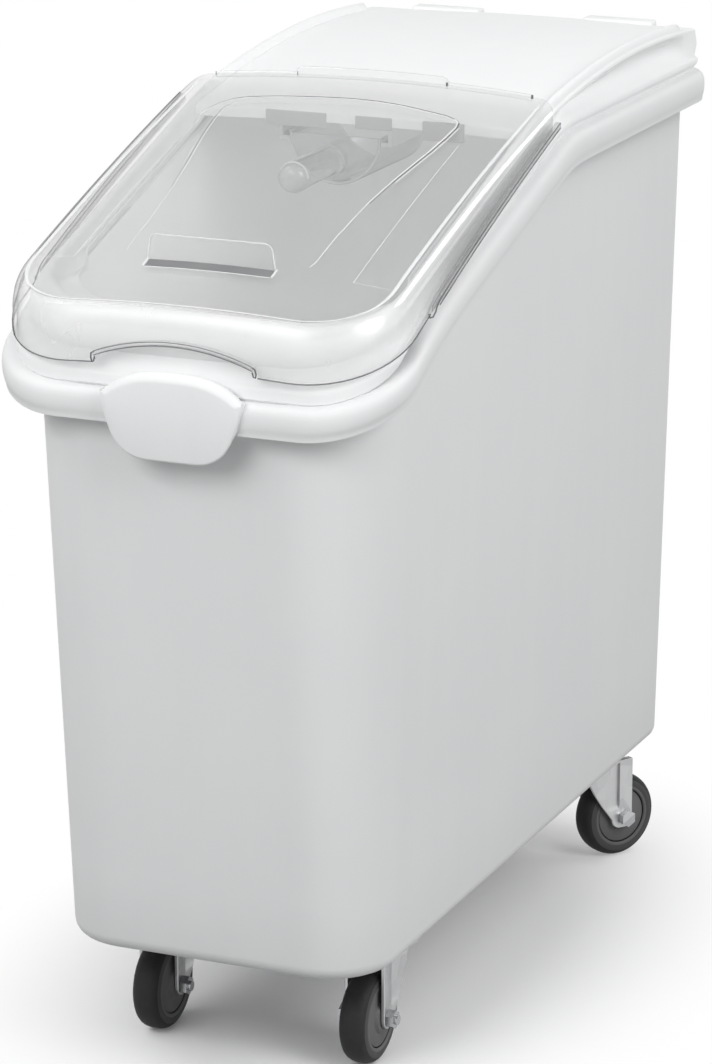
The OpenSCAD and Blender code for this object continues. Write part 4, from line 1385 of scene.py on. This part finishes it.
    def _lips(self) -> bpy.types.Object:
        """Makes the rolled lips along the sides and over the arch; the side lips get a grey finish that
        paints their shade.

        Returns:
            The lips as one object.
        """
        piece = Piece("lid_lips")
        for side in SIDES:
            rings = []
            for share in spread(0.0, 1.0, 30):
                y = lerp(self.lip_from, self.lip_to, share)
                out = self.lip_out * ease(*self.lip_zone, share)
                rings.append([(side * (self.half + way * out), y, self.hem(y) + up)
                              for way, up in self.lip_section])
            piece.loft(rings)
        rings = []
        for x in spread(-self.arch_half + 1.0, self.arch_half - 1.0, 48):
            hook = self.arch_hook * ease(self.hook_from, self.arch_half, abs(x))
            rings.append([(x, y - hook, self.arch(x) + rise) for y, rise in self.arch_section])
        piece.loft(rings)
        # The side lips get the finish with the painted shade.
        piece.line(lambda spot, normal: int(abs(spot.x) > self.arch_half + self.lip_out))
        return piece.finish(LID_CLEAR, Body.LID.value, linings=(LID_SIDE_LIP_PAINTED_SHADE,))

    def _tab(self, foot: Rows) -> Plan:
        """Returns the finger tab's outline over a foot, from right to left."""
        right = [*foot, *arc(self.finger_round, self.finger_r, 0.0, 90.0, 8)]
        return right + [(-x, z) for x, z in reversed(right)]

    def _finger(self) -> bpy.types.Object:
        """Makes the finger tab that stands on the sheet.

        Returns:
            The tab.
        """
        piece = Piece("lid_finger_tab")
        base = self.top(0.0, self.finger_y)
        outline = self._tab(self.finger_foot)
        rings = []
        for y, inset in self.finger_rows:
            narrow = 1.0 - inset / self.finger_half
            rings.append([(x * narrow, y, base + (z - inset if z > self.finger_head else z))
                          for x, z in outline])
        piece.loft(rings)
        return piece.finish(LID_CLEAR, Body.LID.value)

    def _line(self, spots: Plan | Rows) -> list[Point]:
        """Returns points on the sheet's outer face over a line in plan."""
        path = [between(a, b, share) for a, b in zip(spots, spots[1:]) for share in spread(0.0, 1.0, 10)[:-1]]
        return [(x, y, self.top(x, y)) for x, y in [*path, spots[-1]]]

    def _folds(self) -> list[bpy.types.Object]:
        """Makes the painted lines of the folds pressed into the sheet: dark ones of painted shade, bright
        ones of painted highlights.

        Returns:
            The dark lines of painted shade and the bright lines of painted highlights.
        """
        dark, glint = Piece("lid_fold_painted_shade_lines"), Piece("lid_fold_glints")
        glint.tube(self._line([(x, y - self.rear_glint) for x, y in self.recess_rear]), self.rear_glint_bar)
        dark.tube(self._line(self.recess_rear), self.rear_bar)
        for side, strong in zip(SIDES, self.strengths):
            for stroke in self.strokes:
                out, back = stroke.shift
                spots = self.recess_side[stroke.first:stroke.last]
                path = self._line([(side * (x + out), y + back) for x, y in spots])
                (glint if stroke.bright else dark).tube(path, stroke.bar, strong)
            for spots, bar in self.creases:
                glint.tube(self._line([(side * x, y) for x, y in spots]), bar)
            self._edges(dark, side)
            for x in self.edge_pins:
                up = self.top(x, self.bead_y)
                pin = [(side * x, self.edge_pin_y, up + z) for z in self.edge_pin_z]
                dark.tube(pin, self.pin_bar, strong)
        glint.tube([self._edge_point(i, self.ring_share) for i in self._round(self.ring_rear)], self.ring_bar)
        base = self.top(0.0, self.finger_y)
        glint.tube([(x, self.finger_rim_y, base + z) for x, z in self._tab(self.finger_rim)], self.rim_bar)
        # A dark bar of painted shade along the left shoulder's silhouette.
        rear, near = self.shoulder_line
        left = [i for i in self._round(rear) if self.flat[i][0] < 0.0 and self.flat[i][1] > near]
        left.sort(key=lambda i: -self.flat[i][1])
        shares = [lerp(*self.shoulder_shares, ease(*self.shoulder_run, self.flat[i][1])) for i in left]
        dark.tube([self._edge_point(i, share) for i, share in zip(left, shares)], self.shoulder_bar)
        half, far = self.shade_line
        glint.tube(self._line([(x, self.finger_y - far) for x in (-half, half)]), self.shade_bar)
        for rise in self.arch_lines:
            dark.tube([(x, self.arch_line_y, self.arch(x) + rise)
                       for x in spread(-self.arch_line_half, self.arch_line_half, 40)], self.arch_bar)
        return [dark.finish(LID_FOLD_PAINTED_SHADE, Body.LID.value), glint.finish(LID_GLINT, Body.LID.value)]

    def _shade(self) -> bpy.types.Object:
        """Makes the dark strip on the sheet in front of the finger tab.

        Returns:
            The strip.
        """
        piece = Piece("lid_finger_shade")
        near, far = (self.finger_y - ahead for ahead in self.shade_far)
        low, high = self.shade_z
        section = ((near, low), (near, high), (far, high), (far, low))
        piece.loft([[(x, y, self.top(x, y) + lift) for y, lift in section]
                    for x in spread(-self.shade_half, self.shade_half, 20)])
        return piece.finish(LID_SHADE, Body.LID.value)

    def _round(self, rear: float) -> list[int]:
        """Picks the outline's points before a place along Y.

        Args:
            rear: The place.

        Returns:
            The points' numbers, from the left rear round the front to the right rear.
        """
        picked = [i for i, (_, y) in enumerate(self.flat) if y <= rear]
        turn = len(self.flat) // 2
        return [i for i in picked if i >= turn] + [i for i in picked if i < turn]

    def _edges(self, dark: Piece, side: float) -> None:
        """Adds the dark lines of painted shade along one side's hem, lip and arch end.

        Args:
            dark: The piece that the lines go into.
            side: Which side, -1 or 1.
        """
        picked = [i for i, (x, y) in enumerate(self.flat) if side * x >= self.arch_half and y <= self.hem_to]
        picked.sort(key=lambda i: (self.flat[i][1], side * self.flat[i][0]))
        hem = [self._edge_point(i, 1.0) for i in picked]
        dark.tube([(x, y, z + self.hem_up) for x, y, z in hem], self.hem_bar)
        end = self.arch(self.arch_line_half)
        dark.tube([(side * x, y, end + rise) for x, y, rise in self.arch_end], self.hook_bar)
        dark.tube([(side * (self.half + out), self.lip_from + back, self.hem(self.lip_from + back) + rise)
                   for out, back, rise in self.lip_hook], self.hook_bar)
        for out, rise in self.lip_lines:
            dark.tube([(side * (self.half + out), y, self.hem(y) + rise)
                       for y in spread(self.lip_from + self.lip_line_set, self.lip_to, 30)], self.hem_bar)


@dataclass
class PullHandle:
    """The plate in front of the rim, rolled back over the frame's foot at its top."""

    front: float = -372.5
    back: float = -358.9
    rim: float = 562.5
    rise: float = 18.5
    half: float = 57.0
    thick: float = 4.2
    full_h: float = 26.0
    over_zone: Spot = (2.0, 7.0)
    end_zone: float = 0.9
    end_back: float = 3.0
    side_zone: Spot = (0.85, 0.93)
    side_gap: float = 3.4
    shelf_up: float = 1.3
    line_half: float = 44.0
    line_drop: float = 8.0
    line_in: float = 0.34
    line_bar: Bar = Bar(0.3, 6, 1.6)
    ends: tuple[float, ...] = (0.83, 0.86, 0.89, 0.915, 0.94, 0.96, 0.975, 0.99, 1.0)
    hem: Rows = (
        (0.0, 47.8), (20.0, 47.8), (28.0, 46.8), (35.0, 44.0), (40.5, 40.0), (44.5, 35.5), (47.5, 30.5),
        (50.5, 23.5), (53.7, 13.5), (56.0, 4.5), (57.0, -1.5))
    roll: Rows = (
        (1.0, 3.4), (0.66, 0.7), (0.48, 0.0), (0.34, 0.5), (0.22, 1.5), (0.125, 3.0), (0.05, 4.8),
        (0.012, 6.2), (0.0, 7.6))
    foot: Rows = ((0.0, 2.0), (0.3, 0.9), (1.0, 0.2), (1.6, 0.0), (2.2, 0.2))
    heel: float = 1.2
    shelf: Rows = ((0.0, 2.0), (0.8, 0.3), (2.5, 0.0))
    shelf_share: float = 0.55
    least_l: float = 0.6

    def top(self, x: float) -> float:
        """Returns the height of the plate's top over a place along X."""
        return self.rim + self.rise * (1.0 - abs(x / self.half) ** 3.0)

    def build(self) -> list[bpy.types.Object]:
        """Makes the handle and the grey line on it, painted shade where the rolled top meets the panel.

        Returns:
            The line of painted shade and the handle.
        """
        line = Piece("pull_handle_painted_shade_line")
        line.tube([(x, self.front + self.line_in, self.top(x) - self.line_drop)
                   for x in spread(-self.line_half, self.line_half, 40)], self.line_bar)
        piece = Piece("pull_handle")
        right = [self.half * share for share in (*(k / 20.0 for k in range(1, 17)), *self.ends)]
        piece.loft([self._section(x) for x in (*(-x for x in reversed(right)), 0.0, *right)])
        return [line.finish(PAINTED_SHADE_LINE_GREY, Body.BIN.value),
                piece.finish(PAD_WHITE, Body.BIN.value, ("front_handle",), 42.0)]

    def _section(self, x: float) -> list[Point]:
        """Gives the plate's section at a place along X.

        Args:
            x: The place.

        Returns:
            The section's points, from the back of the roll over its top and down the front.
        """
        away, top = abs(x), self.top(x)
        low = self.rim - along(self.hem, away)
        s = min(1.0, (top - low) / self.full_h)
        over = ease(*self.over_zone, top - self.rim)
        front = self.front + self.end_back * ease(self.end_zone * self.half, self.half, away) ** 2
        side = ease(*(share * self.half for share in self.side_zone), away)
        inner = lerp(self.front + self.thick, self.back - self.side_gap, side)
        back = lerp(inner + self.least_l, self.back, over)
        shelf = lerp(lerp(low, top, self.shelf_share), self.rim + self.shelf_up, over)
        spots = [(lerp(front, back, way), top - fall * s) for way, fall in self.roll]
        spots += [(front + way, low + up * s) for way, up in self.foot]
        spots.append((inner, low + self.heel * s))
        spots += [(inner + way * over, shelf - fall * s) for way, fall in self.shelf]
        return [(x, y, z) for y, z in [*spots, (back, shelf)]]


@dataclass
class Scoop:
    """The clear scoop under the hood: a round handle to the front, a collar and a half-round bowl."""

    x: float = -50.0
    handle_z: float = 660.0
    bowl_z: float = 679.0
    bowl_r: float = 40.0
    wall: float = 2.5
    flange: float = 6.0
    bowl_from: float = 45.0
    bowl_to: float = 155.0
    lean: float = math.tan(math.radians(25.0))
    back_set: float = 0.6
    back_gap: float = 0.1
    turned: Rows = (
        (0.0, -46.2), (5.0, -45.8), (9.0, -44.2), (11.3, -41.5), (12.3, -38.0), (12.4, -33.0), (11.8, -27.0),
        (11.2, -10.0), (11.0, 18.0), (11.3, 27.0), (12.6, 28.2), (13.4, 30.0), (13.4, 33.0), (12.6, 34.8),
        (11.4, 36.0), (11.6, 44.9), (0.0, 44.9))
    ring_glints: Rows = ((31.5, 13.3), (-37.0, 12.2))
    grip_glint: tuple[float, ...] = (-34.0, -20.0, -5.0, 12.0, 24.0)
    grip_spot: Spot = (-4.0, 11.2)
    flange_glint: Point = (48.0, 80.0, 128.0)
    bowl_glint: tuple[float, ...] = (50.0, 80.0, 110.0, 135.0)
    bowl_spot: Spot = (14.0, -34.5)
    ring_turn: float = 156.0
    back_line: Point = (-1.0, 0.2, 0.4)
    flange_out: float = 2.0
    ring_bar: Bar = Bar(1.0, 6)
    grip_bar: Bar = Bar(1.6)
    flange_bar: Bar = Bar(0.8, 6)
    bowl_bar: Bar = Bar(3.2, 8, 0.4)

    def build(self) -> list[bpy.types.Object]:
        """Makes the scoop's pieces and returns them."""
        return [self._handle(), self._bowl(), self._glints()]

    def _handle(self) -> bpy.types.Object:
        """Makes the turned handle.

        Returns:
            The handle.
        """
        piece = Piece("scoop_handle")
        piece.spun([(self.x + r, y, self.handle_z) for r, y in self.turned], (self.x, 0.0, self.handle_z),
                   (0.0, 1.0, 0.0), 40, closed=False)
        return piece.finish(SCOOP_CLEAR, Body.SCOOP.value, ("scoop",))

    def _arc(self, radius: float) -> Plan:
        """Returns the lower half of a circle in the bowl's section, from left to right."""
        return arc((self.x, self.bowl_z), radius, 180.0, 360.0, 28)

    def _bowl(self) -> bpy.types.Object:
        """Makes the half-round bowl with its flanges and its back wall.

        Returns:
            The bowl.
        """
        piece = Piece("scoop_bowl")
        under, top = self.bowl_z - self.wall, self.bowl_z
        left, right = (self.x + side * (self.bowl_r + self.flange) for side in SIDES)
        section = [(left, top), (left, under), *((x, min(z, under)) for x, z in self._arc(self.bowl_r)),
                   (right, under), (right, top), *reversed(self._arc(self.bowl_r - self.wall))]
        piece.loft([[(x, lerp(self.bowl_from, self.bowl_to - (z - top + self.bowl_r) * self.lean, share), z)
                     for x, z in section] for share in spread(0.0, 1.0, 4)])
        piece.loft([[(x, self.bowl_from + back, z) for x, z in self._arc(self.bowl_r - self.back_set)]
                    for back in (self.back_gap, self.wall)])
        return piece.finish(SCOOP_CLEAR, Body.SCOOP.value)

    def _glints(self) -> bpy.types.Object:
        """Makes the bright lines where the light gathers in the clear wall.

        Returns:
            The lines as one object.
        """
        piece = Piece("scoop_glints")
        for y, r in self.ring_glints:
            ring = arc((self.x, self.handle_z), r, 0.0, self.ring_turn, 13)
            piece.tube([(x, y, z) for x, z in ring], self.ring_bar)
        piece.tube([(self.x + self.grip_spot[0], y, self.handle_z + self.grip_spot[1])
                    for y in self.grip_glint], self.grip_bar)
        wider, back, up = self.back_line
        piece.tube([(x, self.bowl_from + back, z + up) for x, z in self._arc(self.bowl_r + wider)],
                   self.ring_bar)
        for side in SIDES:
            out = self.x + side * (self.bowl_r + self.flange_out)
            piece.tube([(out, y, self.bowl_z) for y in self.flange_glint], self.flange_bar)
        piece.tube([(self.x + self.bowl_spot[0], y, self.bowl_z + self.bowl_spot[1])
                    for y in self.bowl_glint], self.bowl_bar)
        return piece.finish(LID_GLINT, Body.SCOOP.value)


@dataclass
class Casters:
    """The casters: new tyres, hubs and forks, and the finishes of the solids that stay."""

    finishes: dict[str, Finish] = field(default_factory=lambda: {
        "plate": ZINC, "kingpin": STEEL, "balls": STEEL, "axle_bolt": STEEL, "axle_nut": STEEL,
        "axle_sleeve": STEEL})
    fixings: dict[str, Finish] = field(default_factory=lambda: {
        "plate_bolts": STEEL, "thread_inserts": BRASS})
    trail: float = -30.0
    axle: float = 37.5
    tread: Rows = (
        (0.0, 37.5), (3.2, 37.4), (5.8, 36.95), (7.9, 36.05), (9.6, 34.6), (10.8, 32.6), (11.4, 30.4),
        (11.45, 28.4), (11.3, 27.5), (11.6, 26.6), (11.5, 25.5), (11.0, 24.9), (10.4, 24.65), (7.5, 24.6))
    face: Rows = (
        (0.0, 24.6), (7.6, 24.6), (7.7, 23.8), (10.0, 23.7), (10.4, 23.2), (10.5, 13.4), (11.0, 12.3),
        (12.8, 11.6), (13.2, 11.0), (13.2, 6.1), (0.0, 6.1))
    bead_r: float = 27.6
    side_r: float = 33.0
    tread_slant: float = 0.3
    leg_in: float = 14.0
    leg_out: float = 17.0
    leg_round: float = 8.6
    leg_back: float = 7.5
    leg_front: Spot = (6.0, 8.5)
    leg_lean: float = 0.6
    leg_bow: float = 3.2
    leg_h: float = 53.0
    strip_front: float = 6.6
    strip_spare: float = 2.4
    sink_zone: Spot = (8.0, 13.0)
    sink: float = 2.5
    web_sink: float = 0.6
    web_share: Spot = (0.55, 0.4)
    inner_round: float = 0.4
    outer_round: float = 0.6
    web_round: float = 0.7
    strip_round: Point = (0.5, 0.2, 0.9)
    leg_rows: tuple[float, ...] = (
        28.95, 29.4, 30.2, 31.4, 33.0, 35.0, 37.5, 41.0, 45.5, 47.0, 48.5, 50.5, 56.0, 64.0, 74.0, 84.0, 90.8)
    fold_low: Point = (10.5, -37.4, 89.0)
    fold_high: Point = (16.9, 16.0, 91.7)
    fold_round: float = 0.9
    disc: Rows = ((6.4, 91.6), (24.6, 91.6), (25.6, 92.4), (25.6, 94.0), (25.0, 94.35), (6.4, 94.35))

    def build(self) -> list[bpy.types.Object]:
        """Makes the new tyres, hubs and forks.

        Returns:
            The tyre, hub and fork of each caster.
        """
        made = []
        for caster in Caster:
            tyre = self._turned(f"{caster.value}_tyre", self.tread)
            tyre.line(self._zone)
            hub = self._turned(f"{caster.value}_hub", self.face)
            fork = self._fork(f"{caster.value}_fork")
            for piece in (tyre, hub, fork):
                self._seat(piece, caster)
            wheel = f"{caster.value}_wheel"
            made += [
                tyre.finish(TYRE_GREY, wheel, (f"{caster.value}_tyre",), 50.0, (SIDE_GREY, BEAD_GREY)),
                hub.finish(HUB_GREY, wheel, (f"{caster.value}_hub",), 50.0),
                fork.finish(ZINC, f"{caster.value}_swivel", (f"{caster.value}_fork",), 32.0)]
        return made

    def _seat(self, piece: Piece, caster: Caster) -> None:
        """Turns a piece about its pin and moves it to its corner.

        Args:
            piece: The piece.
            caster: The caster it belongs to.
        """
        x, y, turn = LINES.seats()[caster]
        verts = piece.mesh.verts
        bmesh.ops.rotate(piece.mesh, cent=(0.0, 0.0, 0.0), matrix=Matrix.Rotation(math.radians(turn), 3, "Z"),
                         verts=verts)
        bmesh.ops.translate(piece.mesh, vec=(x, y, 0.0), verts=verts)

    def _turned(self, node: str, half: Rows) -> Piece:
        """Gives a tyre or a hub that is turned about the axle.

        Args:
            node: The node it stands for.
            half: Places along the axle and radii, from the middle outwards.

        Returns:
            The piece, not yet in its corner.
        """
        piece = Piece(f"{node}_turned")
        mirrored = [(-x, r) for x, r in reversed(half) if x > 0.0]
        piece.spun([(x, self.trail, self.axle + r) for x, r in (*half, *mirrored)],
                   (0.0, self.trail, self.axle), (1.0, 0.0, 0.0), 72)
        return piece

    def _zone(self, spot: Vector, normal: Vector) -> int:
        """Tells a tyre's tread, side walls and bead apart.

        Args:
            spot: The face's middle.
            normal: The face's normal.

        Returns:
            2 on the bead, 1 on the side walls and 0 on the tread.
        """
        radius = math.hypot(spot.y - self.trail, spot.z - self.axle)
        if abs(normal.x) < self.tread_slant:
            return 0
        return 2 if radius < self.bead_r else int(radius < self.side_r)

    def _leg(self, side: float, z: float) -> list[Point]:
        """Gives a fork leg's section: a strip above the axle and a sunk web that leans to the pin.

        Args:
            side: The side of the wheel, -1 or 1.
            z: The section's height.

        Returns:
            The section's points.
        """
        drop = math.sqrt(max(0.0, 1.0 - (max(0.0, self.axle - z) / self.leg_round) ** 2))
        rise = max(0.0, z - self.axle)
        low = self.trail - self.leg_back * drop
        high = self.trail + self.leg_front[0] + self.leg_front[1] * drop + self.leg_lean * rise
        high += self.leg_bow * math.sin(math.pi * min(1.0, rise / self.leg_h))
        edge = min(self.trail + self.strip_front, high - self.strip_spare)
        inner, outer, sunk = self.leg_in, self.leg_out, ease(*self.sink_zone, rise)
        before, down, after = self.strip_round
        web, sink, start = outer - self.web_sink * sunk, outer - self.sink * sunk, edge + after
        way, up = self.web_share
        r_in, r_out = self.inner_round, self.outer_round
        spots = [(low, inner + r_in), (low, outer - r_out), (low + r_out, outer), (edge - before, outer),
                 (edge, outer - down), (start, sink), (lerp(start, high, way), lerp(sink, web, up)),
                 (high - self.web_round, web), (high, web - r_out), (high, inner + r_in),
                 (high - r_in, inner), (low + r_in, inner)]
        return [(side * x, y, z) for y, x in spots]

    def _fork(self, node: str) -> Piece:
        """Makes a fork: two legs with folded tops under a turned disc.

        Args:
            node: The node it stands for.

        Returns:
            The piece, not yet in its corner.
        """
        piece = Piece(f"{node}_pressed")
        for side in SIDES:
            piece.loft([self._leg(side, z) for z in self.leg_rows])
            near, far = sorted((side * self.fold_low[0], side * self.fold_high[0]))
            piece.block((near, *self.fold_low[1:]), (far, *self.fold_high[1:]), self.fold_round)
        piece.spun([(r, 0.0, z) for r, z in self.disc], (0.0, 0.0, 0.0), (0.0, 0.0, 1.0), 56)
        return piece

    def dress(self) -> int:
        """Gives the solids that stay their finishes.

        Returns:
            How many there are.
        """
        coats = {f"{caster.value}_{part}": finish
                 for caster in Caster for part, finish in self.finishes.items()}
        for name, finish in (coats | self.fixings).items():
            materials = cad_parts[name].data.materials
            materials.clear()
            materials.append(finish.material())
        return len(coats) + len(self.fixings)


@dataclass(frozen=True)
class Lamp:
    """One soft area light, in metres and watts."""

    name: str
    spot: Point
    aim: Point
    size: Spot
    power: float
    mirrored: bool = True

    def build(self) -> None:
        """Adds the light."""
        light = bpy.data.lights.new(self.name, "AREA")
        light.shape, light.size, light.size_y, light.energy = "ELLIPSE", *self.size, self.power
        lamp = linked(self.name, light)
        lamp.visible_camera = False
        lamp.visible_glossy = self.mirrored
        set_up(lamp, self.spot, self.aim)


@dataclass
class Studio:
    """The floor, the light and the camera."""

    spot: Point = (1.3164, -3.0973, 1.3325)
    aim: Point = (-0.0124, 0.0, 0.3629)
    lens: float = 145.85
    sensor: float = 36.0
    clip_end: float = 60.0
    sky: float = 0.43
    sky_tint: Colour = (0.98, 0.99, 1.0)
    floor_half: float = 14.0
    floor_near: Point = (1.7, 1.0, 1.0)
    floor_fade: Spot = (0.22, 0.56)
    floor_bounce: Colour = (0.32, 0.32, 0.32)
    bounces: dict[str, int] = field(default_factory=lambda: {
        "transparent_max_bounces": 32, "max_bounces": 16, "diffuse_bounces": 12})
    lamps: tuple[Lamp, ...] = (
        Lamp("key", (2.6, -1.0, 2.0), (0.0, 0.0, 0.45), (1.8, 1.8), 42.0),
        Lamp("front", (-0.45, -1.95, 1.6), (0.0, -0.2, 0.6), (1.5, 1.0), 15.5),
        Lamp("front_strip", (-0.7, -1.9, 2.15), (0.0, -0.3, 0.6), (2.8, 0.25), 7.0, mirrored=False),
        Lamp("right_strip", (1.6, 1.5, 2.5), (0.1, 0.0, 0.6), (2.0, 0.6), 13.0),
        Lamp("left_top", (-1.7, -0.8, 2.7), (0.0, 0.0, 0.5), (1.4, 1.4), 14.0))

    def build(self) -> None:
        """Makes the floor, the light and the camera."""
        scene = bpy.context.scene
        self._floor()
        scene.world = self._surroundings()
        for lamp in self.lamps:
            lamp.build()
        view = bpy.data.cameras.new("photo_view")
        view.lens, view.sensor_width, view.sensor_fit = self.lens, self.sensor, "AUTO"
        view.clip_end = self.clip_end
        scene.camera = linked("photo_view", view)
        set_up(scene.camera, self.spot, self.aim)
        scene.view_settings.view_transform = "Standard"
        for name, count in self.bounces.items():
            setattr(scene.cycles, name, count)

    def _floor(self) -> None:
        """Adds the pale floor."""
        mesh = bmesh.new()
        bmesh.ops.create_grid(mesh, x_segments=2, y_segments=2, size=self.floor_half)
        data = bpy.data.meshes.new("floor")
        mesh.to_mesh(data)
        mesh.free()
        floor = linked("floor", data)
        graph = Graph(bpy.data.materials.new("floor_white"))
        speck = graph.noise(3.0, 2.0)
        away = graph.flow(
            "ShaderNodeVectorMath", {"operation": "LENGTH"}, {0: graph.stretched(self.floor_near)}, "Value")
        near = graph.surface({
            "Base Color": graph.blend((0.96, 0.96, 0.96), (0.98, 0.98, 0.98), speck),
            "Roughness": speck * 0.1 + 0.85, "Specular IOR Level": 0.1})
        white = graph.flow("ShaderNodeEmission", None, {"Color": WHITE, "Strength": 1.0})
        bounce = graph.flow("ShaderNodeBsdfDiffuse", None, {"Color": self.floor_bounce})
        shown = graph.mixed(away.between(*self.floor_fade), near, white)
        data.materials.append(graph.closed_by(graph.mixed(graph.watched(), bounce, shown)))

    def _surroundings(self) -> bpy.types.World:
        """Makes an even surrounding that the camera sees as plain white.

        Returns:
            The world.
        """
        graph = Graph(bpy.data.worlds.new("studio"))
        light, seen = (
            graph.flow("ShaderNodeBackground", None, {"Color": colour, "Strength": strength})
            for colour, strength in ((self.sky_tint, self.sky), (WHITE, 1.0)))
        return graph.closed_by(graph.mixed(graph.watched(), light, seen))


def main() -> None:
    """Builds every sub-assembly in order."""
    logging.basicConfig(level=logging.INFO)
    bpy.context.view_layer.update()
    casters = Casters()
    for part in (Tub(), LidFrame(), ClearLid(), PullHandle(), Scoop(), casters):
        for piece in part.build():
            log.info("%s: %d faces", piece.name, len(piece.data.polygons))
    log.info("%d nodes dressed", casters.dress())
    Studio().build()


if __name__ == "__main__":
    main()
